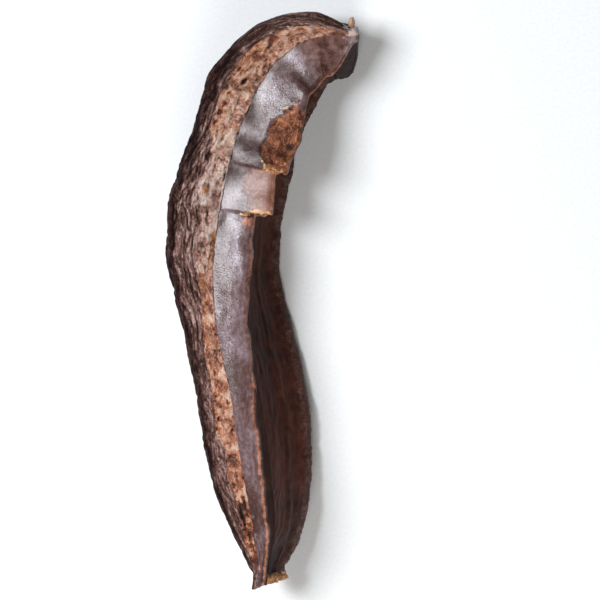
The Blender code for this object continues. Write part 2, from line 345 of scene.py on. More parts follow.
    def ripple_wave(self, shares: np.ndarray, phase: float) -> np.ndarray:
        """Uneven waves along a wing.

        Args:
            shares: Shares of the pod's length.
            phase: The wing's own phase.

        Returns:
            The wave's value at each share, about -2 to 2.
        """
        wave = np.zeros(len(shares))
        for turns, weight, lag in zip(self.ripple_turns, self.ripple_weights, self.ripple_phases):
            wave += weight * np.sin(2 * math.pi * turns * shares + phase * lag)
        return wave


@dataclass(frozen=True)
class Columns:
    """The columns of the skin, round the whole section: where each lies on its wing."""

    # For each wing: columns on its clockwise side, its crest and its other side.
    counts: tuple[tuple[int, int, int], ...] = (
        (28, 11, 44), (40, 21, 20), (14, 9, 14), (12, 12, 34),
    )
    crowding: float = 1.2  # above 1 sets the columns closer together towards the root

    def table(self) -> tuple[np.ndarray, np.ndarray, np.ndarray, np.ndarray]:
        """Wing, face, share up the flank and turn over the crest of each column.

        Returns:
            Four arrays. The flank share is 1 on the crest, and the turn runs from -1 to 1.
        """
        wing, face, share, turn = [], [], [], []
        for place, counts in zip(WingPlace, self.counts):
            for side, n in zip(Face, counts):
                step = np.arange(n)
                if side is Face.CLOCKWISE:
                    up, over = (step / n) ** self.crowding, np.full(n, -1.0)
                elif side is Face.CREST:
                    up, over = np.ones(n), np.linspace(-1, 1, n)
                else:
                    up, over = (1 - (step + 1) / (n + 1)) ** self.crowding, np.full(n, 1.0)
                wing += [place] * n
                face += [side] * n
                share += list(up)
                turn += list(over)
        return np.array(wing), np.array(face), np.array(share), np.array(turn)


@dataclass(frozen=True)
class SkinGrid:
    """Places and directions of the plain skin, before its relief, all in mm."""

    shares: np.ndarray
    wing: np.ndarray
    face: np.ndarray
    up: np.ndarray
    turn: np.ndarray
    points: np.ndarray
    normals: np.ndarray
    along: np.ndarray
    around: np.ndarray
    out: np.ndarray


@dataclass(frozen=True)
class SkinShaper:
    """Lays the grid of the skin over the pod's form, with its torn edges."""

    form: PodForm
    columns: Columns = Columns()
    rows: int = 372
    dense_places: tuple[float, ...] = (0.203, 0.225, 0.319, 0.395)
    dense_width: float = 0.008
    dense_gain: float = 2.2
    tear_width: float = 0.007
    tear_shift: float = 0.9
    tear_from: Span = (0.3, 0.6)  # shares up the flank over which the tears set in
    end_shift: float = 0.9
    chip_depth: float = 0.5
    crest_limit: float = 0.45  # most of the reach that the crest's half thickness may take
    least_tip: float = 0.6  # mm that a crest stands out beyond its roots, at least
    least_flank: float = 0.3  # mm of flank between the root and the crest, at least
    ripple_rise: float = 1.5  # above 1 keeps the ripple to the outer part of a wing
    seed: int = 5

    def shares(self) -> np.ndarray:
        """Shares of the length for the rows, closer together at torn edges and at the ends."""
        fine = np.linspace(0, 1, 4000)
        weight = np.ones_like(fine)
        for place in self.dense_places:
            weight += self.dense_gain * bell(fine - place, self.dense_width)
        weight += 1.2 * np.exp(-fine / 0.01) + 1.2 * np.exp(-(1 - fine) / 0.012)
        sums = np.concatenate([[0], np.cumsum((weight[1:] + weight[:-1]) / 2)])
        return np.interp(np.linspace(0, 1, self.rows), sums / sums[-1], fine)

    def _reach(self, place: int, shares: np.ndarray) -> np.ndarray:
        """Reach of a wing with small chips off its broken margin.

        Args:
            place: Index of the wing.
            shares: Shares of the pod's length.

        Returns:
            The reach at each share, in mm.
        """
        wing = self.form.wings[place]
        walk = np.column_stack([shares * 150, np.full_like(shares, 3.3 * place), 0 * shares])
        chips = np.clip(Grain(self.seed + place).layered(walk, 2) + 0.2, 0, 1)
        strength = wing.chips * window(wing.chips_from, wing.chips_until, shares)
        return profile(wing.reach, shares) - self.chip_depth * chips * strength

    def lay(self) -> SkinGrid:
        """The plain skin: every column of every row.

        Returns:
            The grid with its normals and its measures along and round the pod.
        """
        form = self.form
        shares = self.shares()
        wing, face, up, turn = self.columns.table()
        centre, side, forward = form.frames(shares)
        root = profile(form.root_half, shares)
        angles = [profile(w.angle, shares) for w in form.wings]
        gaps = [(angles[(k + 1) % 4] - angles[k]) % 360 for k in range(4)]
        starts = [root / np.tan(np.radians(gap / 2)) for gap in gaps]
        flat = np.zeros((len(shares), len(wing), 2))
        out_all = np.zeros((len(shares), len(wing)))
        for place, w in enumerate(form.wings):
            reach = self._reach(place, shares)
            crest = np.minimum(profile(w.crest, shares), self.crest_limit * reach)
            before, after = starts[place - 1], starts[place]
            tip = np.maximum(reach, np.maximum(before, after) + self.least_tip)
            swing = w.ripple * form.ripple_wave(shares, w.ripple_phase)
            swing *= np.minimum(1.0, root / form.root_half_full)
            for j in np.flatnonzero(wing == place):
                start = before if turn[j] < 0 else after
                shoulder = np.maximum(reach - crest, start + self.least_flank)
                if face[j] == Face.CREST:
                    bend = turn[j] * math.pi / 2
                    round_out = abs(math.cos(bend)) ** (2 / form.crest_roundness)
                    round_side = abs(math.sin(bend)) ** (2 / form.crest_roundness)
                    out = shoulder + (tip - shoulder) * round_out
                    sideways = crest * math.copysign(round_side, turn[j])
                else:
                    out = start + (shoulder - start) * up[j]
                    thick = crest + np.maximum(root - crest, 0) * (1 - up[j]) ** form.flank_taper
                    sideways = turn[j] * thick
                angle = np.radians(profile(w.angle, shares))
                angle += np.radians(profile(w.curl, shares)) * up[j] ** 2
                sideways = sideways + swing * up[j] ** self.ripple_rise
                flat[:, j, 0] = out * np.cos(angle) - sideways * np.sin(angle)
                flat[:, j, 1] = out * np.sin(angle) + sideways * np.cos(angle)
                out_all[:, j] = out
        points = (
            centre[:, None]
            + flat[..., :1] * side[:, None]
            + flat[..., 1:] * np.array([0, 0, 1.0])
        )
        slide = self._tears(shares, wing, out_all) * smooth_step(*self.tear_from, up)
        slide += self._frayed_end(shares, wing, out_all)
        points += slide[..., None] * forward[:, None]
        slant = np.clip((shares - form.slant_start) / (1 - form.slant_start), 0, 1) ** 2
        points[..., 1] += slant[:, None] * form.slant_slope * (
            points[..., 0] - PLAN_SHIFT[0] - form.slant_from_x
        )
        points[..., 2] = np.maximum(points[..., 2], 0.0)
        along = np.repeat(shares[:, None] * form.spine_line()[2], len(wing), axis=1)
        return SkinGrid(
            shares, wing, face, up, turn, points, self._normals(points, centre),
            along, self._around(points, wing, face, turn), out_all,
        )

    def _tears(self, shares: np.ndarray, wing: np.ndarray, out: np.ndarray) -> np.ndarray:
        """How far each point slides along the pod, which makes the torn edges uneven.

        Args:
            shares: Shares of the pod's length.
            wing: Wing of each column.
            out: Distance of each point from the spine, in mm.

        Returns:
            The slide of each point, in mm.
        """
        near = sum(bell(shares - place, self.tear_width) for place in self.dense_places)
        walk = np.stack([out / 2.1, np.round(shares[:, None] * 9) + 0 * out, wing + 0 * out], -1)
        uneven = Grain(self.seed + 40).layered(walk * np.array([1, 3.7, 5.3]), 3)
        return self.tear_shift * near[:, None] * uneven

    def _frayed_end(self, shares: np.ndarray, wing: np.ndarray, out: np.ndarray) -> np.ndarray:
        """How far the last rows slide along the pod, which frays the torn tip.

        Args:
            shares: Shares of the pod's length.
            wing: Wing of each column.
            out: Distance of each point from the spine, in mm.

        Returns:
            The slide of each point, in mm.
        """
        walk = np.stack([out[-1] / 1.1, wing * 4.1, 0 * out[-1]], -1)
        uneven = Grain(self.seed + 60).layered(walk, 2)
        return self.end_shift * smooth_step(0.975, 1.0, shares)[:, None] * uneven[None]

    @staticmethod
    def _normals(points: np.ndarray, centre: np.ndarray) -> np.ndarray:
        """Outward directions of the grid.

        Args:
            points: The grid's places.
            centre: The spine's place at each row.

        Returns:
            A unit vector for each point.
        """
        down = np.gradient(points, axis=0)
        across = np.roll(points, -1, axis=1) - np.roll(points, 1, axis=1)
        normals = np.cross(across, down)
        normals /= np.maximum(np.linalg.norm(normals, axis=-1, keepdims=True), 1e-9)
        outward = np.sum(normals * (points - centre[:, None]), axis=-1).mean()
        return normals if outward > 0 else -normals

    @staticmethod
    def _around(points: np.ndarray, wing: np.ndarray, face: np.ndarray,
                turn: np.ndarray) -> np.ndarray:
        """Distance round the section, from the crest on woody wings and the root on fleshy ones.

        Args:
            points: The grid's places.
            wing: Wing of each column.
            face: Face of each column.
            turn: Turn over the crest of each column.

        Returns:
            The distance of each point, in mm.
        """
        steps = np.linalg.norm(np.roll(points, -1, axis=1) - points, axis=-1)
        walked = np.concatenate([np.zeros((len(points), 1)), np.cumsum(steps, axis=1)], axis=1)
        around = np.zeros(points.shape[:2])
        for place in WingPlace:
            own = np.flatnonzero(wing == place)
            middle = own[np.argmin(np.abs(turn[own]) + (face[own] != Face.CREST) * 9)]
            if place in (WingPlace.WOODY_LEFT, WingPlace.WOODY_RIGHT):
                around[:, own] = walked[:, own] - walked[:, [middle]]
            else:
                first = own[turn[own] < 0]
                last = own[turn[own] >= 0]
                around[:, first] = walked[:, first] - walked[:, [own[0]]]
                around[:, last] = walked[:, last] - walked[:, [own[-1] + 1]]
        return around


@dataclass(frozen=True)
class Spot:
    """One blemish, hole or lump on a flank."""

    wing: WingPlace
    side: int
    share: float
    up: float
    length: float  # mm along the pod
    width: float  # mm up the flank
    height: float = 0.0  # mm
    dark: float = 0.0
    tint: float = 0.0


# Blemishes on the inner flank of the bark wing, and on the upper flank of the front fleshy wing.
# Their dark is partly dark blemish and partly painted shade in the holes and hollows they sink.
BarkSpot = partial(Spot, WingPlace.WOODY_LEFT, -1)
SkinSpot = partial(Spot, WingPlace.FLESHY_FRONT, 1)
SPOTS = (
    BarkSpot(0.194, 0.45, 1.5, 1.0, height=-1.1, dark=1.0),
    BarkSpot(0.186, 0.47, 1.2, 1.3, height=0.35, tint=0.7),
    BarkSpot(0.368, 0.5, 2.4, 2.0, height=0.65, tint=0.9),
    BarkSpot(0.361, 0.46, 0.8, 0.7, height=-0.5, dark=0.7),
    BarkSpot(0.345, 0.05, 3.2, 0.5, height=-0.5, dark=0.8),
    BarkSpot(0.372, 0.06, 2.0, 0.4, height=-0.4, dark=0.7),
    BarkSpot(0.405, 0.32, 1.9, 0.5, height=-0.6, dark=0.9),
    BarkSpot(0.418, 0.3, 2.0, 0.6, tint=0.8),
    BarkSpot(0.455, 0.06, 6.0, 1.3, height=0.3, tint=1.4),
    BarkSpot(0.93, 0.25, 3.0, 1.2, height=-0.8, dark=0.8),
    BarkSpot(0.449, 0.11, 0.6, 0.5, height=-0.4, dark=0.9),
    BarkSpot(0.47, 0.12, 1.0, 0.4, height=-0.3, dark=0.7),
    BarkSpot(0.515, 0.4, 2.6, 2.2, tint=1.0),
    BarkSpot(0.815, 0.3, 2.4, 0.9, height=-0.5, dark=0.6),
    BarkSpot(0.862, 0.2, 2.4, 1.5, height=-1.1, dark=0.9),
    BarkSpot(0.883, 0.45, 4.6, 1.1, height=-1.1, dark=1.0),
    BarkSpot(0.91, 0.35, 2.6, 1.0, height=-0.8, dark=0.8),
    SkinSpot(0.262, 0.72, 1.1, 1.1, height=0.5, tint=0.3),
    SkinSpot(0.442, 0.2, 0.5, 0.4, height=-0.15, dark=0.8),
    SkinSpot(0.44, 0.72, 0.8, 0.35, height=-0.15, dark=0.8),
    SkinSpot(0.398, 0.97, 1.2, 1.0, height=-0.5, dark=0.9),
    SkinSpot(0.484, 0.15, 1.2, 0.9, height=0.1, tint=0.35),
    SkinSpot(0.408, 0.93, 2.6, 1.8, tint=0.9),
    SkinSpot(0.88, 0.2, 4.4, 2.6, height=-0.35, dark=0.5),
    SkinSpot(0.868, 0.6, 3.0, 2.4, height=0.3),
    SkinSpot(0.915, 0.4, 3.6, 3.0, height=0.5),
    SkinSpot(0.94, 0.3, 2.6, 2.2, height=-0.3, dark=0.6),
    SkinSpot(0.965, 0.7, 1.8, 3.0, height=0.2, tint=0.7),
    SkinSpot(0.273, 0.58, 2.6, 1.5, height=-0.3, dark=0.55),
    SkinSpot(0.245, 0.6, 1.6, 1.2, height=-0.2, dark=0.4),
    SkinSpot(0.262, 0.93, 1.6, 1.4, height=-0.5, dark=0.9),
    SkinSpot(0.288, 0.8, 2.4, 1.2, height=0.3, dark=0.35),
    SkinSpot(0.195, 0.9, 3.4, 1.6, height=0.4, tint=0.7),
)


# Soft patches of the front flank where its wax is whole (above zero) or rubbed thin (below zero).
# In the skin's colour they are painted highlight above zero and painted shade below it.
# Columns: share of the length, share up the flank, mm along, mm up, strength.
WAX_PATCHES = (
    (0.111, 0.45, 3.0, 4.5, 0.9), (0.117, 0.08, 3.0, 3.5, 0.7), (0.149, 0.9, 4.0, 3.0, 0.3),
    (0.169, 0.1, 5.0, 3.5, 0.5), (0.182, 0.27, 4.5, 4.5, 0.6), (0.202, 0.12, 4.5, 4.0, 0.6),
    (0.194, 0.55, 5.0, 5.0, 0.5), (0.263, 0.12, 3.0, 3.0, 0.5), (0.304, 0.13, 3.5, 2.5, 0.6),
    (0.368, 0.3, 5.0, 3.5, 0.4), (0.35, 0.7, 3.5, 3.0, 0.3), (0.382, 0.07, 4.0, 2.5, 0.3),
    (0.413, 0.45, 5.0, 3.0, 0.6), (0.443, 0.63, 5.0, 2.5, 0.6), (0.475, 0.67, 5.0, 2.5, 0.5),
    (0.503, 0.85, 5.0, 2.0, 0.4), (0.127, 0.55, 3.0, 4.5, -0.7), (0.147, 0.27, 3.0, 4.0, -0.5),
    (0.125, 0.88, 3.5, 3.0, -0.6), (0.224, 0.03, 3.0, 2.0, -0.6), (0.246, 0.07, 3.0, 2.0, -0.6),
    (0.281, 0.25, 3.5, 4.5, -0.8), (0.324, 0.02, 4.0, 1.5, -0.6), (0.332, 0.17, 3.0, 2.5, -0.5),
    (0.32, 0.58, 2.5, 3.0, -0.5), (0.536, 0.25, 4.0, 2.0, -0.4), (0.544, 0.6, 3.0, 2.0, -0.4),
    (0.574, 0.2, 3.5, 2.0, -0.4),
)


@dataclass
class SkinRelief:
    """Raises and sinks the skin, and says where each finish lies on it."""

    grid: SkinGrid
    bark_edge: Pairs = (
        (0, 0.5), (0.03, 0.75), (0.104, 0.95), (0.166, 1.0), (0.19, 0.84), (0.208, 0.8),
        (0.23, 0.95), (0.27, 0.98), (0.295, 0.78), (0.321, 0.64), (0.365, 0.74), (0.407, 0.5),
        (0.475, 0.57), (0.527, 0.5), (0.573, 0.66), (0.627, 0.76), (0.713, 0.78),
        (0.741, 0.84), (0.774, 0.56), (0.816, 0.62), (0.868, 0.52), (0.914, 0.74), (1, 0.95),
    )
    peel_edge: Pairs = (
        (0.186, 1.1), (0.192, 0.86), (0.204, 0.73), (0.218, 0.65), (0.228, 0.53), (0.244, 0.48),
        (0.263, 0.52), (0.283, 0.47), (0.293, 0.5), (0.3, 0.6), (0.312, 0.68), (0.32, 0.74),
    )
    flap_edge: Pairs = ((0.322, 0.62), (0.343, 0.46), (0.361, 0.57), (0.385, 0.66), (0.4, 0.7))
    warm: Pairs = (
        (0, 0.3), (0.05, 0.8), (0.12, 1.0), (0.2, 0.85), (0.28, 0.65), (0.36, 0.4), (0.45, 0.3),
        (0.5, 0.6), (0.58, 0.8), (0.7, 0.9), (0.8, 0.85), (0.9, 1.0), (1, 0.8),
    )
    bark_strength: Pairs = ((0, 0.3), (0.1, 0.4), (0.18, 0.85), (0.3, 1.0), (0.5, 1.0),
                            (0.65, 0.55), (1, 0.45))
    bark_shade: Pairs = ((0, 0.5), (0.1, 0.6), (0.17, 0.45), (0.22, 0.45), (0.3, 0.75),
                         (0.42, 0.9), (0.55, 0.75), (0.7, 0.7), (0.8, 0.6), (1, 0.4))
    flecks: Pairs = ((0, 0.3), (0.08, 0.6), (0.15, 0.8), (0.35, 0.75), (0.45, 0.5), (0.6, 0.3),
                     (0.8, 0.2), (0.88, 0.05), (1, 0.0))
    pulp_light: Pairs = ((0, 0.58), (0.19, 0.58), (0.26, 0.8), (0.34, 0.88), (0.38, 1.0),
                         (0.43, 1.0), (0.47, 0.5), (0.8, 0.5), (0.88, 0.38), (1, 0.36))
    wax: Pairs = ((0, -0.35), (0.08, -0.3), (0.11, -0.1), (0.17, 0.05), (0.22, -0.1),
                  (0.3, -0.2), (0.38, 0.05), (0.48, 0.2), (0.6, 0.35), (0.75, 0.35), (0.86, 0.05),
                  (1, -0.2))
    rim_strength: Pairs = ((0, 0.6), (0.05, 1.0), (0.1, 0.9), (0.14, 0.6), (0.19, 0.6), (0.3, 0.7),
                           (0.325, 1.3), (0.43, 1.3), (0.5, 0.8), (0.6, 0.7), (0.75, 1.0),
                           (1, 1.2))
    lip_strength: Pairs = ((0.187, 0.9), (0.21, 0.7), (0.23, 0.35), (0.29, 0.35), (0.31, 1.0))
    bark_depth: float = 0.5
    flesh_depth: float = 0.95
    flank_width: float = 15.0
    lump_size: float = 3.1
    broad_size: float = 13.0
    small_size: float = 1.5
    masks: dict[str, np.ndarray] = field(default_factory=dict)

    def _on(self, place: WingPlace, side: Optional[int] = None) -> np.ndarray:
        """1 on the columns of a wing, or of one side of it.

        Args:
            place: The wing.
            side: -1 or 1 for one side with its half of the crest, or None for both.

        Returns:
            One value for each column.
        """
        own = self.grid.wing == place
        if side is not None:
            own = own & (np.sign(self.grid.turn) == side)
        return own.astype(float)

    def __post_init__(self) -> None:
        """Spreads the measures of rows and columns over the grid, and makes the shared noise."""
        g = self.grid
        self.t = np.repeat(g.shares[:, None], len(g.wing), axis=1)
        self.up = np.repeat(g.up[None], len(g.shares), axis=0)
        self.turn = np.repeat(g.turn[None], len(g.shares), axis=0)
        self.crest = np.repeat((g.face == Face.CREST)[None], len(g.shares), axis=0)
        self.lump = Grain(11).layered(g.points / self.lump_size, 3)
        self.broad = Grain(12).at(g.points / self.broad_size)
        self.small = Grain(13).layered(g.points / self.small_size, 2)

    def raise_skin(self) -> np.ndarray:
        """Works out every mask and the height of the relief.

        Returns:
            The height of each point above the plain skin, in mm.
        """
        fleshy = self._on(WingPlace.FLESHY_FRONT) + self._on(WingPlace.FLESHY_BACK)
        right = self._on(WingPlace.WOODY_RIGHT)
        height = self._bark_and_pulp() + fleshy * self._flesh() + right * self._dark_wood()
        height = height * window((0.0, 0.02), (1.0, 0.98), self.t) + self._torn_ends()
        dark, tint, raised = self._spots(self.small)
        height = height + raised + self._lines()
        self.masks.update(
            dark=dark,
            tint=tint,
            # By the stalk the fleshy skin is browner and duller, and the lower woody wing is
            # painted near black there, which is painted shade under the front wing.
            dull=(fleshy + right) * smooth_step(0.115, 0.07, self.t),
            up=self.up,
            # The finishes also colour by the relief: darker in its hollows and paler on its ridges,
            # which is painted shade and painted highlight.
            relief=np.clip(0.5 + height / 2.0, 0, 1),
        )
        return height

    def _bark_and_pulp(self) -> np.ndarray:
        """The upper woody wing: fissured bark, and pitted pulp where the bark has come off.

        Returns:
            The height of its relief in mm, 0 on the other wings.
        """
        t, up, lump, broad, small = self.t, self.up, self.lump, self.broad, self.small
        left = self._on(WingPlace.WOODY_LEFT)
        edge = up + 0.1 * lump + 0.05 * small - profile(self.bark_edge, t)
        inner = self._on(WingPlace.WOODY_LEFT, -1) * (~self.crest)
        bark = left * np.where(inner > 0, smooth_step(-0.13, 0.13, edge), 1.0)
        fissure, ridge = self._fissures(2.3, 0.12, 21)
        fine_fissure, fine_ridge = self._fissures(1.2, 0.16, 31)
        bark_height = -self.bark_depth * fissure + 0.22 * ridge
        bark_height = bark_height - 0.25 * fine_fissure + 0.12 * fine_ridge
        bark_height = bark_height * profile(self.bark_strength, t)
        pits = smooth_step(0.36, 0.72, Grain(51).layered(self.grid.points / 2.4, 2))
        pulp_height = 0.62 * lump + 0.3 * small - 0.75 * pits
        # Painted shade, partly the bark's own darker colour: the crest and the outer side, which
        # face outward and down, and the stretches set low in bark_shade take the darker bark
        # colours.
        outer = smooth_step(-1.0, -0.35, self.turn + 0.25 * lump)
        outer = outer * (0.45 + 0.5 * smooth_step(0.1, 0.2, t))
        shade = profile(self.bark_shade, t) * (1 - outer) + 0.15 * broad
        self.masks.update(
            bark=bark,
            pale=np.where(left > 0, shade, 0.5),
            warm=profile(self.warm, t) + 0.25 * broad,
            # Where the pulp takes pale flecks on its ridges: painted glints.
            fleck=profile(self.flecks, t) * smooth_step(0.75, 0.35, up + 0.2 * lump),
            cross=smooth_step(0.5, 0.1, up) * window((0.1, 0.14), (0.42, 0.34), t),
            light=profile(self.pulp_light, t),
        )
        return bark * bark_height + left * (1 - bark) * pulp_height

    def _flesh(self) -> np.ndarray:
        """The fleshy wings: waxy skin in soft waves, torn open along part of the margin.

        Returns:
            The height of their relief in mm.
        """
        g = self.grid
        t, up, lump, small = self.t, self.up, self.lump, self.small
        wax = self._wax() * self._on(WingPlace.FLESHY_FRONT, 1)
        slide = g.along + 0.5 * np.abs(g.around)
        bulge = Grain(61).at(np.stack([slide / 7.5, g.around / 10.0, 0 * t], -1))
        waves = bulge * (0.12 + 0.2 * smooth_step(0.18, 0.24, t))
        waves = waves * (0.3 + 0.7 * smooth_step(0.07, 0.1, t))
        height = (waves + 0.3 * wax) * smooth_step(0, 0.2, up) + 0.2 * self.broad
        # Where the spine bends, the rows pinch together and the relief is held back.
        pace = np.linalg.norm(np.gradient(g.points, axis=0), axis=-1) / np.gradient(g.along, axis=0)
        height = height * smooth_step(0.2, 0.75, pace)
        height = height + smooth_step(0.83, 0.9, t) * (0.6 * lump) * smooth_step(1.0, 0.6, up)
        height = height + smooth_step(0.11, 0.03, t) * 0.2 * (lump + 0.5 * small)
        front = self._on(WingPlace.FLESHY_FRONT)
        self.masks.update(
            wax=0.5 + 0.5 * wax,
            # The front wing's clockwise side, which faces down: its finish takes a darker copy of
            # the skin there, which is painted shade.
            back=smooth_step(-0.2, -0.6, self.turn) * front,
            brim=front * self.crest * smooth_step(-0.2, 0.1, self.turn),
        )
        return self._margin(self._peeled(height))

    def _peeled(self, height: np.ndarray) -> np.ndarray:
        """Sinks the peeled hollow and the flap in the front flank, and raises the lip round them.

        Args:
            height: The height of the fleshy skin, in mm.

        Returns:
            The height with them.
        """
        t, up, lump, small = self.t, self.up, self.lump, self.small
        face_up = self._on(WingPlace.FLESHY_FRONT, 1)
        warp = 0.05 * small + 0.035 * lump
        past = up + warp - profile(self.peel_edge, t)
        peel = face_up * smooth_step(-0.03, 0.03, past)
        peel = peel * smooth_step(0.187, 0.193, t + 0.004 * small) * smooth_step(0.322, 0.318, t)
        flap = face_up * smooth_step(-0.26, 0.16, up + 2 * warp - profile(self.flap_edge, t))
        flap = flap * window((0.318, 0.322), (0.402, 0.396), t)
        lip = face_up * bell(past + 0.045, 0.035) * window((0.187, 0.195), (0.325, 0.317), t)
        lip = lip * profile(self.lip_strength, t)
        self.masks.update(peel=peel, flap=flap, lip=np.clip(lip, 0, 1))
        hollow = peel * (self.flesh_depth - 0.45 * lump - 0.12 * small)
        return height * (1 - 0.7 * peel) - hollow + 0.22 * lip - 0.25 * flap * (1 + 0.4 * small)

    def _margin(self, height: np.ndarray) -> np.ndarray:
        """Roughens the orange rim of the margin and the two ochre edges where it is torn off.

        Args:
            height: The height of the fleshy skin, in mm.

        Returns:
            The height with them.
        """
        t, up, lump, small = self.t, self.up, self.lump, self.small
        strength = self._on(WingPlace.FLESHY_FRONT) * profile(self.rim_strength, t)
        strength = strength + 0.4 * self._on(WingPlace.WOODY_RIGHT)
        edge_line = bell(self.turn - 0.05 + 0.15 * small, 0.2 + 0.08 * lump)
        rim = strength * np.where(self.crest, edge_line, 0.0)
        ochre = bell(t - 0.393 - 0.002 * lump, 0.0075) * smooth_step(0.45, 0.7, up)
        upper = bell(t - 0.318 - 0.002 * lump, 0.0055) * smooth_step(0.6, 0.8, up)
        ochre = self._on(WingPlace.FLESHY_FRONT, 1) * np.clip(ochre + 0.9 * upper, 0, 1)
        self.masks.update(rim=rim, ochre=ochre)
        return height + ochre * 0.4 * small + rim * 0.12 * small

    def _dark_wood(self) -> np.ndarray:
        """The lower woody wing: fine streaks, one long fold and a rough rim.

        Returns:
            The height of its relief in mm.
        """
        streak, ridge = self._fissures(1.7, 0.08, 71)
        fold = bell(self.up - 0.52 - 0.06 * self.broad, 0.05) * (~self.crest)
        rough_rim = smooth_step(0.72, 0.95, self.up)
        self.masks["sheen"] = self._on(WingPlace.WOODY_RIGHT) * smooth_step(0.76, 0.9, self.t)
        height = 0.06 * ridge - 0.08 * streak + 0.3 * fold + rough_rim * 0.3 * self.small
        return height + 0.3 * self.broad + 0.12 * self.lump

    def _torn_ends(self) -> np.ndarray:
        """The scar at the stalk end, and the torn faces and the pocket at the tip.

        Returns:
            What they add to the height, in mm.
        """
        t, up, small = self.t, self.up, self.small
        wood, skin = self._on(WingPlace.WOODY_RIGHT, 1), self._on(WingPlace.FLESHY_FRONT, -1)
        inside = skin + wood
        facing = wood + smooth_step(1.0, 0.6, up) * skin
        torn = smooth_step(0.972, 0.982, t + 0.005 * small) * facing
        nub = smooth_step(0.98, 0.992, t + 0.004 * small) * (1 - inside)
        scar = smooth_step(0.022, 0.006, t + 0.008 * self.lump)
        # The pocket sinks the tip, and the finishes paint it near black: painted shade.
        pocket = inside * window((0.9, 0.95), (0.984, 0.975), t) * smooth_step(0.9, 0.3, up)
        self.masks.update(torn=torn, pocket=pocket, scar=np.clip(scar + 0.35 * nub, 0, 1))
        return torn * (0.6 + 0.6 * small) - 0.9 * pocket

    def _lines(self) -> np.ndarray:
        """Two pale raised lines on the bark wing: by its crest near the stalk, and at its root.

        Returns:
            What they add to the height, in mm.
        """
        t, up, turn, lump, small = self.t, self.up, self.turn, self.lump, self.small
        left = self._on(WingPlace.WOODY_LEFT)
        seam = left * (bell(turn + 0.86 + 0.12 * lump, 0.06) * self.crest)
        seam = seam * window((0.01, 0.04), (0.17, 0.08), t) * smooth_step(-0.7, 0.2, small + lump)
        root = bell(up - 0.025 + 0.012 * small, 0.018) * (turn < 0) * left
        root = root * window((0.3, 0.33), (0.45, 0.42), t)
        self.masks["line"] = np.clip(seam + root, 0, 1)
        return 0.15 * seam + 0.35 * root

    def _wax(self) -> np.ndarray:
        """How whole the wax of the front flank is, which also paints highlight and shade on its
        colour.

        Returns:
            About -1 where it is rubbed thin to 1 where it is whole.
        """
        g = self.grid
        wax = np.repeat(profile(self.wax, g.shares)[:, None], len(g.up), axis=1)
        for share, up, length, width, strength in WAX_PATCHES:
            across = (g.up - up) * self.flank_width / width
            lengthwise = (g.shares - share) * g.along[-1, 0] / length
            wax = wax + strength * np.exp(-(across[None] ** 2) - lengthwise[:, None] ** 2)
        return np.clip(wax, -1, 1)

    def _spots(self, ragged: np.ndarray) -> tuple[np.ndarray, np.ndarray, np.ndarray]:
        """The blemishes, holes and lumps.

        Args:
            ragged: Noise that makes their edges uneven.

        Returns:
            How dark, how orange and how high each point is because of them.
        """
        g = self.grid
        dark = np.zeros_like(g.along)
        tint = np.zeros_like(g.along)
        raised = np.zeros_like(g.along)
        for spot in SPOTS:
            across = (g.up - spot.up) * self.flank_width / spot.width
            lengthwise = (g.shares - spot.share) * g.along[-1, 0] / spot.length
            away = across[None] ** 2 + lengthwise[:, None] ** 2
            falloff = np.maximum(1 + 0.8 * ragged, 0.25)
            shape = np.exp(-away * falloff) * self._on(spot.wing, spot.side)
            dark = np.maximum(dark, spot.dark * shape)
            tint = np.maximum(tint, spot.tint * shape)
            raised = raised + spot.height * shape
        return dark, tint, raised

    def _fissures(self, spacing: float, stretch: float, seed: int) -> tuple[np.ndarray, np.ndarray]:
        """Cracks that run along the pod and join and part again, as bark has.

        Args:
            spacing: Distance between cracks round the pod, in mm.
            stretch: How much slower the pattern changes along the pod than round it.
            seed: Seed of the pattern.

        Returns:
            The cracks, 1 at the bottom of each, and the ridges between them, -1 to 1.
        """
        g = self.grid
        drift = 1.1 * Grain(seed + 1).at(np.stack([g.around / 9, g.along / 9, 0 * g.along], -1))
        walk = np.stack(
            [g.around / spacing + drift, g.along / spacing * stretch, g.wing + 0 * g.along], -1
        )
        wave = Grain(seed).layered(walk * np.array([1, 1, 4.7]), 2)
        return smooth_step(0.2, 0.0, np.abs(wave)), np.clip(2.2 * np.abs(wave) - 0.6, -1, 1)


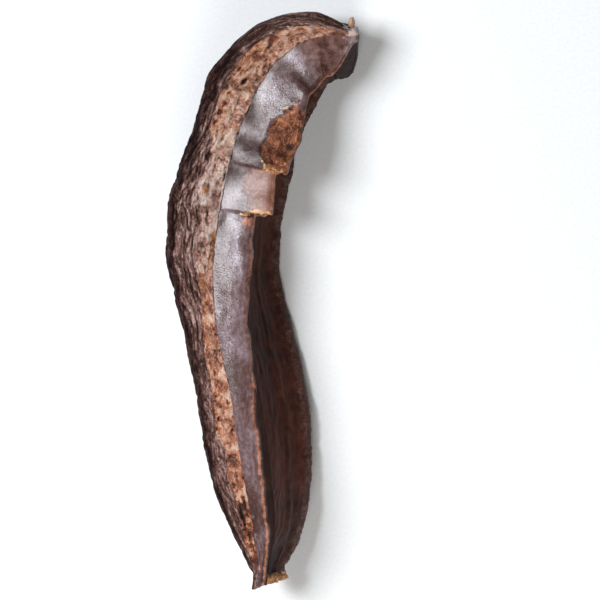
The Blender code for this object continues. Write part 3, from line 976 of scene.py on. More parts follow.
class Recipe:
    """Adds shader nodes to one material. Each call returns the socket with its result."""

    def __init__(self, name: str) -> None:
        """Starts a material with an empty node tree apart from its shader.

        Args:
            name: The material's name.
        """
        self.material = bpy.data.materials.new(name)
        self.material.use_nodes = True
        self.tree = self.material.node_tree
        self.shader = self.tree.nodes["Principled BSDF"]

    def _node(self, kind: str, **settings: object) -> bpy.types.Node:
        """A new node of this kind with these settings.

        Args:
            kind: The node's type name.
            settings: Its properties by name.

        Returns:
            The node.
        """
        node = self.tree.nodes.new(kind)
        for key, value in settings.items():
            setattr(node, key, value)
        return node

    def _feed(self, socket: bpy.types.NodeSocket, value: object) -> None:
        """Links or sets one input.

        Args:
            socket: The input.
            value: Another node's output, a number or a colour.
        """
        if isinstance(value, bpy.types.NodeSocket):
            self.tree.links.new(value, socket)
        elif isinstance(value, tuple) and len(value) == 3 and socket.type == "RGBA":
            socket.default_value = (*value, 1.0)
        else:
            socket.default_value = value

    def mask(self, name: str) -> bpy.types.NodeSocket:
        """The value of one of the skin's masks."""
        return self._node("ShaderNodeAttribute", attribute_name=name).outputs["Fac"]

    def place(self, scale: tuple[float, float, float] = (1, 1, 1)) -> bpy.types.NodeSocket:
        """Place on the object in metres, stretched by scale."""
        node = self._node("ShaderNodeMapping")
        self._feed(node.inputs["Vector"], self._node("ShaderNodeTexCoord").outputs["Object"])
        node.inputs["Scale"].default_value = scale
        return node.outputs["Vector"]

    def grain(self, around: float, along: float) -> bpy.types.NodeSocket:
        """Place on the skin in centimetres round and along the pod, stretched."""
        node = self._node("ShaderNodeMapping")
        self._feed(node.inputs["Vector"], self._node("ShaderNodeUVMap", uv_map="grain").outputs[0])
        node.inputs["Scale"].default_value = (around, along, 1)
        return node.outputs["Vector"]

    def noise(self, vector: bpy.types.NodeSocket, scale: float, detail: float = 4.0,
              roughness: float = 0.55, distortion: float = 0.0) -> bpy.types.NodeSocket:
        """Fractal noise from 0 to 1.

        Args:
            vector: Where to read it.
            scale: Features per unit.
            detail: Number of layers.
            roughness: Strength of the finer layers.
            distortion: How far the pattern is warped.

        Returns:
            The noise.
        """
        node = self._node("ShaderNodeTexNoise")
        self._feed(node.inputs["Vector"], vector)
        for key, value in (("Scale", scale), ("Detail", detail), ("Roughness", roughness),
                           ("Distortion", distortion)):
            node.inputs[key].default_value = value
        return node.outputs["Fac"]

    def cells(self, vector: bpy.types.NodeSocket, scale: float) -> bpy.types.NodeSocket:
        """Distance from the nearest of scattered points, 0 at each of them."""
        node = self._node("ShaderNodeTexVoronoi")
        self._feed(node.inputs["Vector"], vector)
        node.inputs["Scale"].default_value = scale
        return node.outputs["Distance"]

    def sums(self, operation: str, first: object, second: object = 0.5,
             third: object = 0.5) -> bpy.types.NodeSocket:
        """One step of arithmetic.

        Args:
            operation: Name of the Math node's operation.
            first: First value.
            second: Second value.
            third: Third value, where the operation has one.

        Returns:
            The result.
        """
        node = self._node("ShaderNodeMath", operation=operation)
        for socket, value in zip(node.inputs, (first, second, third)):
            self._feed(socket, value)
        return node.outputs[0]

    def times(self, first: object, second: object) -> bpy.types.NodeSocket:
        """The product of two values."""
        return self.sums("MULTIPLY", first, second)

    def larger(self, first: object, second: object) -> bpy.types.NodeSocket:
        """The larger of two values."""
        return self.sums("MAXIMUM", first, second)

    def total(self, *terms: tuple[object, float], start: float = 0.0) -> bpy.types.NodeSocket:
        """A weighted sum.

        Args:
            terms: Pairs of (value, weight).
            start: A number added to the sum.

        Returns:
            The sum.
        """
        result = start
        for value, weight in terms:
            result = self.sums("MULTIPLY_ADD", value, weight, result)
        return result

    def frayed(self, name: str, ragged: object, low: float, high: float) -> bpy.types.NodeSocket:
        """A mask with its edge made uneven.

        Args:
            name: The mask's name.
            ragged: What is added to it, about zero on average.
            low: Sum at which the result starts to rise.
            high: Sum at which it is 1.

        Returns:
            The mask, 0 to 1.
        """
        return self.band(self.sums("ADD", self.mask(name), ragged), low, high)

    def band(self, value: object, low: float, high: float, start: float = 0.0,
             end: float = 1.0) -> bpy.types.NodeSocket:
        """Grades a value smoothly from start to end as it goes from low to high.

        Args:
            value: The value.
            low: Where the change starts.
            high: Where it ends.
            start: Result at low.
            end: Result at high.

        Returns:
            The graded value.
        """
        node = self._node("ShaderNodeMapRange", interpolation_type="SMOOTHSTEP")
        for key, given in (("Value", value), ("From Min", low), ("From Max", high),
                           ("To Min", start), ("To Max", end)):
            self._feed(node.inputs[key], given)
        return node.outputs["Result"]

    def ramp(self, value: object, stops: Stops) -> bpy.types.NodeSocket:
        """Colours along a value.

        Args:
            value: The value, 0 to 1.
            stops: Rows of (place, (red, green, blue)).

        Returns:
            The colour.
        """
        node = self._node("ShaderNodeValToRGB")
        points = node.color_ramp.elements
        while len(points) < len(stops):
            points.new(0.5)
        for point, (place, colour) in zip(points, stops):
            point.position = place
            point.color = (*colour, 1)
        self._feed(node.inputs["Fac"], value)
        return node.outputs["Color"]

    def blend(self, factor: object, first: object, second: object) -> bpy.types.NodeSocket:
        """Mixes two colours.

        Args:
            factor: Share of the second colour.
            first: First colour.
            second: Second colour.

        Returns:
            The mixed colour.
        """
        node = self._node("ShaderNodeMix", data_type="RGBA", blend_type="MIX")
        self._feed(node.inputs[0], factor)
        self._feed(node.inputs[6], first)
        self._feed(node.inputs[7], second)
        return node.outputs[2]

    def bump(self, height: object, depth: float, strength: float) -> bpy.types.NodeSocket:
        """Fine relief for the shader.

        Args:
            height: The height, 0 to 1.
            depth: Depth of a full step, in metres.
            strength: Share of the effect.

        Returns:
            The normal.
        """
        node = self._node("ShaderNodeBump")
        node.inputs["Strength"].default_value = strength
        node.inputs["Distance"].default_value = depth
        self._feed(node.inputs["Height"], height)
        return node.outputs["Normal"]

    def curls(self, pattern: bpy.types.NodeSocket, width: float) -> bpy.types.NodeSocket:
        """Thin lines that wander where a pattern crosses its middle value."""
        return self.band(self.sums("ABSOLUTE", self.sums("SUBTRACT", pattern, 0.5)), width, 0.0)

    def finish(self, colour: object, roughness: object, normal: bpy.types.NodeSocket,
               ior: float = 1.5, gloss: object = 0.5) -> bpy.types.Material:
        """Joins the results to the shader.

        Args:
            colour: Base colour.
            roughness: Roughness.
            normal: The normal with its relief.
            ior: Index of refraction.
            gloss: Strength of the mirrored light, 0.5 for a plain surface.

        Returns:
            The finished material.
        """
        self._feed(self.shader.inputs["Base Color"], colour)
        self._feed(self.shader.inputs["Roughness"], roughness)
        self._feed(self.shader.inputs["Specular IOR Level"], gloss)
        self._feed(self.shader.inputs["Normal"], normal)
        self.shader.inputs["IOR"].default_value = ior
        self.shader.inputs["Metallic"].default_value = 0.0
        return self.material


@dataclass(frozen=True)
class WoodyFinish:
    """The woody wing that shows most: dark fissured bark over orange, fibrous pulp."""

    bark: Stops = (
        (0.16, (0.016, 0.005, 0.004)), (0.36, (0.082, 0.031, 0.021)),
        (0.54, (0.190, 0.094, 0.075)), (0.70, (0.350, 0.208, 0.182)),
        (0.90, (0.60, 0.43, 0.39)),
    )
    outer_bark: Stops = (
        (0.22, (0.007, 0.002, 0.002)), (0.46, (0.028, 0.010, 0.007)),
        (0.64, (0.068, 0.029, 0.023)), (0.88, (0.17, 0.10, 0.088)),
    )
    orange: Stops = (
        (0.16, (0.070, 0.014, 0.005)), (0.34, (0.33, 0.085, 0.030)),
        (0.50, (0.62, 0.215, 0.095)), (0.66, (0.84, 0.42, 0.26)), (0.84, (0.92, 0.62, 0.47)),
    )
    grey_pink: Stops = (
        (0.16, (0.060, 0.015, 0.008)), (0.34, (0.250, 0.078, 0.048)),
        (0.50, (0.49, 0.225, 0.170)), (0.66, (0.72, 0.45, 0.385)), (0.84, (0.94, 0.76, 0.70)),
    )
    amber: Stops = (
        (0.30, (0.20, 0.050, 0.015)), (0.50, (0.48, 0.170, 0.060)), (0.72, (0.80, 0.46, 0.24)),
    )
    fleck: Colour = (0.88, 0.70, 0.62)
    hole: Colour = (0.020, 0.008, 0.005)
    cavity: Colour = (0.20, 0.050, 0.022)
    shadow: Colour = (0.022, 0.011, 0.010)

    def build(self) -> bpy.types.Material:
        """Makes the material.

        Returns:
            The material.
        """
        r = Recipe("bark_and_pulp")
        # Patterns, stretched along the grain or the same in every direction.
        relief = r.mask("relief")
        worms = r.noise(r.grain(1.0, 0.42), 12, 4, 0.66, 1.6)
        braids = r.noise(r.grain(1.0, 0.2), 9, 5, 0.66, 1.0)
        crumbs = r.noise(r.place(), 1250, 3, 0.65, 0.6)
        lumps = r.noise(r.place(), 300, 5, 0.62, 0.4)
        folds = r.noise(r.grain(0.3, 1.0), 11, 4, 0.65, 1.2)
        strings = r.noise(r.grain(0.8, 0.5), 8, 3, 0.6, 2.2)
        hairs = r.noise(r.grain(1.0, 0.7), 15, 2, 0.5, 1.6)
        curl = r.larger(r.curls(strings, 0.03), r.times(r.curls(hairs, 0.035), 0.6))
        # Bark: a darker copy of its colours on the outside and paler where it faces up, which is
        # painted shade, partly the bark's own darker colour.
        bark_mask = r.frayed("bark", r.total((lumps, 0.9), (worms, 0.9), start=-0.9), 0.25, 0.75)
        pale = r.mask("pale")
        # Fissures darker and ridges paler by the relief's height: painted shade and painted
        # highlight.
        bark_tone = r.total((braids, 1.9), (crumbs, 0.9), (relief, 0.8), (pale, 0.2), start=-1.38)
        bark = r.blend(r.band(pale, 0.08, 0.6), r.ramp(bark_tone, self.outer_bark),
                       r.ramp(bark_tone, self.bark))
        # Pulp: orange or grey-pink, with pale threads and painted glints, dark red cavities and
        # near-black holes;
        # the holes are painted shade, and the cavities painted shade over the pulp's own dark red.
        wrinkle = r.sums("MULTIPLY_ADD", r.sums("SUBTRACT", folds, worms), r.mask("cross"), worms)
        clumps = r.noise(r.place(), 130, 3, 0.6, 0.6)
        # The relief's height darkens the pulp in its hollows and lightens it on its lumps: painted
        # shade and painted highlight.
        pulp_tone = r.total((wrinkle, 1.5), (crumbs, 0.6), (relief, 0.9), (lumps, 0.9),
                            (clumps, 1.3), (r.mask("light"), 0.5), start=-2.33)
        warm = r.frayed("warm", r.total((lumps, 0.8), start=-0.4), 0.2, 0.9)
        pulp = r.blend(warm, r.ramp(pulp_tone, self.grey_pink), r.ramp(pulp_tone, self.orange))
        # Painted glints on the ridge tops of the wrinkles, with the pale fibres of the curls.
        lit = r.band(r.total((wrinkle, 0.6), (crumbs, 0.5)), 0.57, 0.66)
        lit = r.larger(lit, curl)
        pulp = r.blend(r.times(lit, r.mask("fleck")), pulp, self.fleck)
        pulp = r.blend(r.times(r.band(clumps, 0.43, 0.33), 0.6), pulp, self.cavity)
        pulp = r.blend(r.band(lumps, 0.36, 0.27), pulp, self.hole)
        # Bark over pulp, then painted shade in the crease at the root, the scar and the blemishes
        # over both.
        crease = r.times(r.band(r.mask("up"), 0.02, 0.0), 0.8)
        colour = r.blend(bark_mask, pulp, bark)
        ragged = r.total((crumbs, 0.5), start=-0.25)
        colour = r.blend(r.frayed("tint", ragged, 0.25, 0.75), colour, r.ramp(crumbs, self.amber))
        colour = r.blend(crease, colour, self.shadow)
        colour = r.blend(r.times(r.frayed("line", ragged, 0.2, 0.7), 0.7), colour, self.fleck)
        mottled = r.total((crumbs, 1.6), (lumps, 0.6), start=-1.1)
        colour = r.blend(r.times(r.frayed("scar", mottled, 0.5, 0.9), 0.75), colour, self.fleck)
        # Dark blemishes, partly painted shade in the holes they sink.
        colour = r.blend(r.frayed("dark", ragged, 0.2, 0.7), colour, self.hole)
        # Relief, roughness and gloss.
        bark_height = r.total((braids, 0.7), (crumbs, 0.3))
        pulp_height = r.total((wrinkle, 0.7), (crumbs, 0.4), (lumps, 0.5), (curl, 0.12))
        height = r.sums("MULTIPLY_ADD", r.sums("SUBTRACT", bark_height, pulp_height), bark_mask,
                        pulp_height)
        roughness = r.total((r.band(crumbs, 0.3, 0.7, 0.34, 0.55), 1.0), (bark_mask, 0.12))
        gloss = r.band(bark_mask, 0.0, 1.0, 0.62, r.band(pale, 0.0, 0.6, 0.07, 0.24))
        return r.finish(colour, roughness, r.bump(height, 0.0014, 1.0), 1.5, gloss)


@dataclass(frozen=True)
class FleshyFinish:
    """The fleshy wings: waxy purple-brown skin, torn in places down to brown fibre."""

    skin: Stops = (
        (0.26, (0.046, 0.020, 0.017)), (0.46, (0.092, 0.048, 0.045)),
        (0.62, (0.155, 0.096, 0.100)), (0.80, (0.240, 0.180, 0.205)), (0.98, (0.38, 0.32, 0.37)),
    )
    base: Stops = (
        (0.26, (0.055, 0.018, 0.012)), (0.50, (0.165, 0.077, 0.060)), (0.80, (0.33, 0.205, 0.18)),
    )
    under: Stops = (
        (0.26, (0.012, 0.004, 0.002)), (0.50, (0.038, 0.012, 0.007)), (0.80, (0.075, 0.030, 0.020)),
    )
    rim: Stops = (
        (0.30, (0.14, 0.036, 0.018)), (0.50, (0.40, 0.145, 0.080)), (0.72, (0.68, 0.38, 0.26)),
    )
    fibre: Stops = (
        (0.26, (0.016, 0.005, 0.002)), (0.44, (0.080, 0.021, 0.009)),
        (0.60, (0.195, 0.058, 0.025)), (0.82, (0.46, 0.21, 0.11)),
    )
    flap: Stops = (
        (0.30, (0.13, 0.050, 0.032)), (0.52, (0.24, 0.110, 0.080)), (0.75, (0.36, 0.22, 0.19)),
    )
    ochre: Stops = (
        (0.30, (0.14, 0.045, 0.015)), (0.50, (0.50, 0.245, 0.095)), (0.70, (0.86, 0.64, 0.40)),
    )
    dot: Colour = (0.022, 0.010, 0.009)
    scar: Stops = (
        (0.28, (0.045, 0.026, 0.024)), (0.48, (0.175, 0.115, 0.110)),
        (0.64, (0.36, 0.27, 0.265)), (0.82, (0.62, 0.54, 0.53)),
    )

    def build(self) -> bpy.types.Material:
        """Makes the material.

        Returns:
            The material.
        """
        r = Recipe("fleshy_skin")
        relief = r.mask("relief")
        patches = r.noise(r.place(), 75, 5, 0.6, 0.5)
        mottle = r.noise(r.place(), 480, 4, 0.6)
        specks = r.noise(r.place(), 1900, 3, 0.6)
        cross = r.noise(r.grain(0.16, 1.0), 13, 4, 0.6, 0.5)
        threads = r.noise(r.place((1, 0.55, 1)), 420, 3, 0.5, 3.2)
        dots = r.cells(r.place(), 300)
        wobble = r.total((mottle, 0.8), (specks, 0.5), start=-0.65)
        slight = r.total((mottle, 0.3), (specks, 0.2), start=-0.25)
        # Skin: mottled, with painted highlight where its wax is whole and painted shade where it is
        # rubbed thin, duller near the stalk, and a darker copy on its back that is painted shade.
        tone = r.total((patches, 0.95), (mottle, 0.65), (cross, 0.06), (specks, 0.25),
                       (r.mask("wax"), 0.6), start=-0.78)
        dull = r.mask("dull")
        colour = r.blend(r.times(dull, 0.8), r.ramp(tone, self.skin), r.ramp(tone, self.base))
        # Painted shade: a darker copy of the skin on the front wing's downward side.
        colour = r.blend(r.mask("back"), colour,
                         r.ramp(r.total((patches, 0.6), (mottle, 0.4)), self.under))
        colour = r.blend(r.times(r.band(dots, 0.1, 0.04), 0.7), colour, self.dot)
        # The torn places, the rim and the blemishes, each laid over the skin; the dark ones are
        # partly painted shade in the hollows they sink.
        lit_thread = r.curls(threads, 0.03)
        swells = r.noise(r.place(), 240, 2, 0.5, 0.4)
        # The relief darkens the fibre, and the scar below, in their hollows and lightens them on
        # their lumps: painted shade and painted highlight.
        fibre = r.ramp(r.total((swells, 1.1), (patches, 0.7), (mottle, 0.25), (lit_thread, 0.35),
                               (relief, 0.4), start=-0.58), self.fibre)
        flap = r.ramp(r.total((specks, 0.3), (cross, 0.3), (patches, 0.7), start=-0.15), self.flap)
        ochre = r.ramp(r.total((mottle, 0.6), (specks, 0.4)), self.ochre)
        scar = r.ramp(r.total((mottle, 0.6), (relief, 0.4)), self.scar)
        rim = r.ramp(r.total((mottle, 0.6), (specks, 0.4)), self.rim)
        colour = r.blend(r.frayed("flap", wobble, 0.1, 1.0), colour, flap)
        colour = r.blend(r.frayed("peel", wobble, 0.4, 0.6), colour, fibre)
        edging = r.times(r.frayed("rim", slight, 0.2, 0.85), 0.85)
        colour = r.blend(edging, colour, rim)
        for name, low, high, over in (
            ("lip", 0.45, 0.85, ochre), ("ochre", 0.4, 0.65, ochre), ("torn", 0.4, 0.6, ochre),
            ("scar", 0.3, 0.9, scar), ("tint", 0.2, 0.8, rim), ("dark", 0.2, 0.8, self.dot),
        ):
            colour = r.blend(r.frayed(name, wobble, low, high), colour, over)
        # Painted shade in the pocket at the tip.
        colour = r.blend(r.times(r.mask("pocket"), 0.85), colour, self.dot)
        # Roughness, gloss and relief.
        bare = r.larger(r.mask("peel"), r.mask("torn"))
        matt = r.larger(r.mask("back"), r.larger(r.mask("brim"), bare))
        smooth = r.band(mottle, 0.3, 0.7, 0.2, 0.32)
        roughness = r.total((matt, 0.35), (r.mask("flap"), 0.12), (dull, 0.15), (smooth, 1.0))
        waxy = r.band(r.total((r.mask("wax"), 1.0), (patches, 0.9), (mottle, 0.5), start=-0.7),
                      0.1, 0.95, 0.1, 0.72)
        gloss = r.times(waxy, r.band(matt, 0.0, 1.0, 1.0, 0.28))
        gloss = r.times(gloss, r.band(dull, 0.0, 1.0, 1.0, 0.45))
        height = r.total((cross, 0.06), (specks, 0.26), (mottle, 0.32))
        torn_height = r.times(r.total((threads, 0.5), (mottle, 0.2)), bare)
        normal = r.bump(r.sums("ADD", height, torn_height), 0.0006, 0.8)
        return r.finish(colour, roughness, normal, 1.6, gloss)


@dataclass(frozen=True)
class DarkWoodFinish:
    """The lower woody wing: dark red-brown, streaked along, rough and pinkish at its rim."""

    wood: Stops = (
        (0.26, (0.010, 0.003, 0.001)), (0.44, (0.036, 0.009, 0.004)),
        (0.60, (0.080, 0.019, 0.009)), (0.80, (0.160, 0.050, 0.028)),
    )
    rim: Stops = (
        (0.30, (0.022, 0.008, 0.005)), (0.50, (0.072, 0.030, 0.022)), (0.75, (0.26, 0.15, 0.12)),
    )
    ochre: Stops = (
        (0.30, (0.10, 0.032, 0.010)), (0.50, (0.42, 0.19, 0.065)), (0.70, (0.78, 0.52, 0.27)),
    )
    dot: Colour = (0.016, 0.008, 0.007)

    def build(self) -> bpy.types.Material:
        """Makes the material.

        Returns:
            The material.
        """
        r = Recipe("dark_wood")
        streaks = r.noise(r.grain(1.0, 0.07), 6, 6, 0.6, 0.5)
        fine = r.noise(r.grain(1.0, 0.12), 24, 3, 0.6, 0.2)
        mottle = r.noise(r.place(), 450, 4, 0.62)
        specks = r.noise(r.place(), 1700, 3, 0.6)
        patches = r.noise(r.place((1, 0.4, 1)), 90, 4, 0.6, 0.6)
        tone = r.total((streaks, 0.45), (mottle, 0.35), (fine, 0.12), (patches, 0.45), start=-0.18)
        wobble = r.total((mottle, 0.3), start=-0.15)
        edge = r.frayed("up", wobble, 0.86, 1.0)
        grains = r.total((specks, 0.5), (mottle, 0.5))
        colour = r.blend(r.times(edge, 0.7), r.ramp(tone, self.wood), r.ramp(grains, self.rim))
        # Painted shade: near black in the pocket at the tip, and by the stalk where this wing lies
        # under the front wing.
        dim = r.larger(r.mask("pocket"), r.mask("dull"))
        colour = r.blend(r.times(dim, 0.85), colour, self.dot)
        colour = r.blend(r.frayed("torn", wobble, 0.4, 0.6), colour, r.ramp(grains, self.ochre))
        height = r.total((streaks, 0.25), (fine, 0.15), (mottle, 0.3))
        height = r.sums("MULTIPLY_ADD", specks, r.times(edge, 0.5), height)
        roughness = r.band(mottle, 0.3, 0.7, 0.4, 0.6)
        sheen = r.total((r.mask("sheen"), 1.0), (patches, 0.4), start=-0.2)
        gloss = r.band(sheen, 0.0, 1.0, 0.5, 1.0)
        return r.finish(colour, roughness, r.bump(height, 0.0007, 0.8), 1.36, gloss)


@dataclass(frozen=True)
class StalkFinish:
    """The broken stalk: pale, dry, stringy wood."""

    wood: Stops = (
        (0.28, (0.17, 0.075, 0.042)), (0.50, (0.44, 0.25, 0.165)), (0.74, (0.70, 0.50, 0.38)),
    )

    def build(self) -> bpy.types.Material:
        """Makes the material.

        Returns:
            The material.
        """
        r = Recipe("dry_stalk")
        strings = r.noise(r.place((1, 0.14, 1)), 1900, 4, 0.6, 0.4)
        mottle = r.noise(r.place(), 800, 4, 0.6)
        tone = r.sums("MULTIPLY_ADD", strings, 0.6, r.times(mottle, 0.4))
        return r.finish(r.ramp(tone, self.wood), r.band(mottle, 0.3, 0.7, 0.6, 0.8),
                        r.bump(strings, 0.0004, 0.8))


@dataclass(frozen=True)
class FloorFinish:
    """The studio floor: matt, nearly white."""

    pale: Stops = ((0.35, (0.80, 0.80, 0.80)), (0.65, (0.84, 0.84, 0.84)))

    def build(self) -> bpy.types.Material:
        """Makes the material.

        Returns:
            The material.
        """
        r = Recipe("pale_floor")
        paper = r.noise(r.place(), 900, 3, 0.5)
        return r.finish(r.ramp(paper, self.pale), 0.9, r.bump(paper, 0.00002, 0.3))


def roll(name: str, rings: np.ndarray) -> bpy.types.Object:
    """Rolls a flat grid into a tube that is still open along its seam.

    Args:
        name: The object's name.
        rings: Places of every ring, in mm.

    Returns:
        The rolled object.
    """
    count, columns = rings.shape[:2]
    bpy.ops.object.select_all(action="DESELECT")
    bpy.ops.mesh.primitive_grid_add(x_subdivisions=columns, y_subdivisions=count - 1, size=0.1)
    tube = bpy.context.object
    tube.name = tube.data.name = name
    looped = np.concatenate([rings, rings[:, :1]], axis=1) * MM
    tube.data.vertices.foreach_set("co", looped.reshape(-1))
    tube.data.update()
    return tube


def close(tube: bpy.types.Object) -> None:
    """Joins the seam and the poles of a rolled grid and smooths its shading.

    Args:
        tube: The rolled grid.
    """
    bpy.ops.object.select_all(action="DESELECT")
    tube.select_set(True)
    bpy.context.view_layer.objects.active = tube
    bpy.ops.object.mode_set(mode="EDIT")
    bpy.ops.mesh.select_all(action="SELECT")
    bpy.ops.mesh.remove_doubles(threshold=1e-6)
    bpy.ops.mesh.select_all(action="SELECT")
    bpy.ops.mesh.normals_make_consistent(inside=False)
    bpy.ops.object.mode_set(mode="OBJECT")
    bpy.ops.object.shade_smooth()


@dataclass
class PodSkin:
    """The whole outside of the pod in one closed skin."""

    form: PodForm = PodForm()
    scar_scales: tuple[float, ...] = (0.0, 0.3, 0.6, 0.85)
    scar_bulge: float = 0.5
    mouth: Pairs = (
        (0.88, 0.0), (0.76, 0.5), (0.62, 1.4), (0.5, 2.4), (0.3, 2.6), (0.0, 2.7),
    )
    box_margin: float = 0.02

    def build(self) -> bpy.types.Object:
        """Makes the skin with its relief, masks and finishes.

        Returns:
            The object.
        """
        grid = SkinShaper(self.form).lay()
        relief = SkinRelief(grid)
        height = relief.raise_skin()
        points = grid.points + grid.normals * height[..., None]
        skin = roll("pod_skin", self._with_ends(self._inside_box(points)))
        self._paint(skin, grid, relief)
        self._dress(skin, grid.wing)
        close(skin)
        return skin

    def _inside_box(self, points: np.ndarray) -> np.ndarray:
        """Keeps the relief inside the box of the solid.

        Args:
            points: Places in mm.

        Returns:
            The same places, held inside the box.
        """
        low = np.array(CAD_BOX[0]) / MM + self.box_margin
        high = np.array(CAD_BOX[1]) / MM - self.box_margin
        low[2] = 0.0
        return np.clip(points, low, high)

    def _with_ends(self, points: np.ndarray) -> np.ndarray:
        """Adds the rings that close the scar and sink the mouth at the torn tip.

        Args:
            points: The rings of the pod, in mm.

        Returns:
            All rings, in mm.
        """
        rings = []
        for scale in self.scar_scales:
            middle = points[0].mean(axis=0)
            bulge = np.array([self.scar_bulge * (1 - scale**2), 0, 0])
            rings.append((middle + (points[0] - middle) * scale + bulge)[None])
        rings.append(points)
        middle = points[-1].mean(axis=0)
        for scale, depth in self.mouth:
            rings.append((middle + (points[-1] - middle) * scale + np.array([0, depth, 0]))[None])
        return np.concatenate(rings)

    def _spread(self, values: np.ndarray) -> np.ndarray:
        """Repeats the first and the last row over the rings that were added at the ends.

        Args:
            values: One row for each ring of the pod.

        Returns:
            One row for each ring of the whole skin.
        """
        before, after = len(self.scar_scales), len(self.mouth)
        return np.concatenate(
            [np.repeat(values[:1], before, 0), values, np.repeat(values[-1:], after, 0)]
        )

    def _paint(self, skin: bpy.types.Object, grid: SkinGrid, relief: SkinRelief) -> None:
        """Stores the masks and the grain directions on the skin.

        Args:
            skin: The rolled skin.
            grid: Its plain form.
            relief: Its masks.
        """
        mesh = skin.data
        for name, values in relief.masks.items():
            padded = self._spread(np.concatenate([values, values[:, :1]], axis=1))
            layer = mesh.attributes.new(name, "FLOAT", "POINT")
            layer.data.foreach_set("value", np.clip(padded, 0, 1).astype(np.float32).ravel())
        around = np.concatenate([grid.around, np.zeros((len(grid.shares), 1))], axis=1)
        around = self._spread(around)
        along = self._spread(grid.along[:, 0])
        corner = np.zeros(len(mesh.loops), np.int64)
        mesh.loops.foreach_get("vertex_index", corner)
        columns = around.shape[1]
        row, column = corner // columns, corner % columns
        first = np.repeat(column.reshape(-1, 4).min(axis=1), 4)
        wing = np.concatenate([grid.wing, grid.wing[:1]])
        seam = (wing[column] != wing[first]) | (column == columns - 1)
        u = around[row, column]
        step = np.abs(around[row, first] - around[row, np.maximum(first - 1, 0)])
        u = np.where(seam, around[row, first] + step, u)
        coordinates = np.column_stack([u, along[row]]) * 0.1
        layer = mesh.uv_layers.new(name="grain")
        layer.data.foreach_set("uv", coordinates.astype(np.float32).ravel())
        for other in [m for m in mesh.uv_layers if m.name != "grain"]:
            mesh.uv_layers.remove(other)

    def _dress(self, skin: bpy.types.Object, wing: np.ndarray) -> None:
        """Gives each wing its finish.

        Args:
            skin: The skin.
            wing: Wing of each column.
        """
        finishes = [FleshyFinish().build(), WoodyFinish().build(), DarkWoodFinish().build()]
        for material in finishes:
            skin.data.materials.append(material)
        slot = {
            WingPlace.FLESHY_FRONT: 0,
            WingPlace.WOODY_LEFT: 1,
            WingPlace.FLESHY_BACK: 0,
            WingPlace.WOODY_RIGHT: 2,
        }
        by_column = np.array([slot[WingPlace(w)] for w in wing], np.int32)
        faces = len(skin.data.polygons) // len(wing)
        skin.data.polygons.foreach_set("material_index", np.tile(by_column, faces))


@dataclass
class StalkStub:
    """The broken stalk: a short, bent, tapering splinter of pale wood."""

    line: tuple[tuple[float, float, float], ...] = (
        (32.0, 90.8, 16.9), (32.5, 93.3, 17.2), (33.0, 96.0, 17.5), (33.1, 98.0, 17.8),
    )
    radii: tuple[float, ...] = (1.2, 1.2, 1.2, 0.7)
    sides: int = 28
    rings: int = 40
    string_depth: float = 0.12
    worn_depth: float = 0.25

    def build(self) -> bpy.types.Object:
        """Makes the stub.

        Returns:
            The object.
        """
        stub = roll("stalk_stub_wood", self._rings())
        close(stub)
        stub.data.materials.append(StalkFinish().build())
        return stub

    def _rings(self) -> np.ndarray:
        """Rings along the stub, drawn in to a point at both ends, in mm.

        Returns:
            The places of every ring.
        """
        line = np.array(self.line) + PLAN_SHIFT
        given = np.linspace(0, 1, len(line))
        at = np.linspace(0, 1, self.rings - 2)
        centre = np.column_stack([np.interp(at, given, line[:, k]) for k in range(3)])
        radius = np.interp(at, given, self.radii)
        along = np.gradient(centre, axis=0)
        along /= np.linalg.norm(along, axis=1)[:, None]
        across = np.cross(along, (0, 0, 1.0))
        across /= np.linalg.norm(across, axis=1)[:, None]
        upward = np.cross(across, along)
        turns = np.arange(self.sides) * 2 * math.pi / self.sides
        circle = (
            np.cos(turns)[None, :, None] * across[:, None]
            + np.sin(turns)[None, :, None] * upward[:, None]
        )
        place = centre[:, None] + circle * radius[:, None, None]
        flat = 0 * circle[..., 0]
        walk = np.stack([circle[..., 0] * 2.4, circle[..., 2] * 2.4, at[:, None] * 1.6 + flat], -1)
        strings = Grain(91).layered(walk, 2) - 0.8
        place = place + circle * (self.string_depth * strings)[..., None]
        broken = smooth_step(0.75, 1.0, at)[:, None]
        worn = broken * Grain(92).at(place / 0.9)
        place = place + along[:, None] * (self.worn_depth * (worn - 0.8) * broken)[..., None]
        first, last = place[:1], place[-1:]
        return np.concatenate([
            np.repeat(first.mean(axis=1, keepdims=True), self.sides, 1), place,
            np.repeat(last.mean(axis=1, keepdims=True), self.sides, 1),
        ])


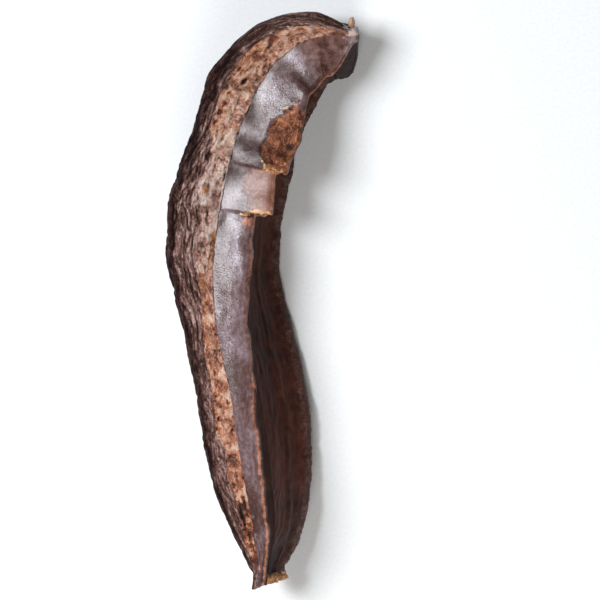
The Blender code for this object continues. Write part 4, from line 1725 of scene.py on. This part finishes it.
@dataclass(frozen=True)
class Studio:
    """The pale floor, the soft lights and the camera that looks down on the pod."""

    elevation: float = 73.0
    distance: float = 0.790
    frame_width: float = 0.210
    aim: tuple[float, float, float] = (-0.000271, 0.000588, 0.0162)
    aim_right: float = 0.0133
    aim_up: float = 0.0002
    sensor: float = 36.0
    floor_size: float = 6.0
    world_strength: float = 0.13

    def axes(self) -> tuple[Vector, Vector, Vector]:
        """The camera's right, up and backward directions.

        Returns:
            Three unit vectors.
        """
        tilt = math.radians(self.elevation)
        right = Vector((math.sin(tilt), 0, -math.cos(tilt)))
        return right, Vector((0, 1, 0)), Vector((math.cos(tilt), 0, math.sin(tilt)))

    def camera(self) -> None:
        """Places the camera and makes it the scene's."""
        right, up, back = self.axes()
        lens = bpy.data.cameras.new("photo_camera")
        lens.sensor_width = self.sensor
        lens.lens = self.sensor * self.distance / self.frame_width
        lens.clip_end = 20
        camera = bpy.data.objects.new("photo_camera", lens)
        place = Vector(self.aim) + right * self.aim_right + up * self.aim_up + back * self.distance
        camera.matrix_world = Matrix.Translation(place) @ Matrix(
            (right, up, back)
        ).transposed().to_4x4()
        bpy.context.scene.collection.objects.link(camera)
        bpy.context.scene.camera = camera

    def floor(self) -> None:
        """Lays the floor under the pod."""
        bpy.ops.object.select_all(action="DESELECT")
        bpy.ops.mesh.primitive_plane_add(size=self.floor_size, location=(0, 0, -0.00005))
        floor = bpy.context.object
        floor.name = floor.data.name = "studio_floor"
        floor.data.materials.append(FloorFinish().build())

    def softbox(self, name: str, azimuth: float, elevation: float, distance: float,
                size: Span, power: float, colour: Colour) -> None:
        """Hangs one soft rectangular light that faces the pod.

        Args:
            name: The light's name.
            azimuth: Degrees from +X towards +Y.
            elevation: Degrees above the floor.
            distance: Metres from the pod.
            size: Width and height in metres.
            power: Watts.
            colour: The light's colour.
        """
        light = bpy.data.lights.new(name, "AREA")
        light.shape = "RECTANGLE"
        light.size, light.size_y = size
        light.energy = power
        light.color = colour
        turn, rise = math.radians(azimuth), math.radians(elevation)
        toward = Vector((math.cos(rise) * math.cos(turn), math.cos(rise) * math.sin(turn),
                         math.sin(rise)))
        box = bpy.data.objects.new(name, light)
        box.matrix_world = Matrix.Translation(toward * distance) @ toward.to_track_quat(
            "Z", "Y"
        ).to_matrix().to_4x4()
        bpy.context.scene.collection.objects.link(box)

    def light(self) -> None:
        """Sets the surrounding light and the softboxes."""
        world = bpy.data.worlds.new("studio_light")
        world.use_nodes = True
        background = world.node_tree.nodes["Background"]
        background.inputs["Color"].default_value = (1.0, 1.0, 1.0, 1)
        background.inputs["Strength"].default_value = self.world_strength
        bpy.context.scene.world = world
        self.softbox("key_softbox", 158, 60, 1.0, (0.36, 0.62), 11.5, (0.92, 0.96, 1.0))
        self.softbox("fill_softbox", -80, 36, 1.0, (0.5, 0.5), 6.0, (1.0, 0.99, 0.97))
        bpy.context.scene.view_settings.view_transform = "Standard"


def main() -> None:
    """Builds the pod, its stalk and the studio, and reports each piece."""
    logging.basicConfig(level=logging.INFO, format="%(message)s")
    skin = PodSkin().build()
    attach(skin, "root")
    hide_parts("pod")
    log.info("pod_skin: %d faces", len(skin.data.polygons))
    stub = StalkStub().build()
    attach(stub, "root")
    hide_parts("stalk_stub")
    log.info("stalk_stub_wood: %d faces", len(stub.data.polygons))
    studio = Studio()
    studio.floor()
    studio.light()
    studio.camera()
    bpy.context.view_layer.update()


if __name__ == "__main__":
    main()
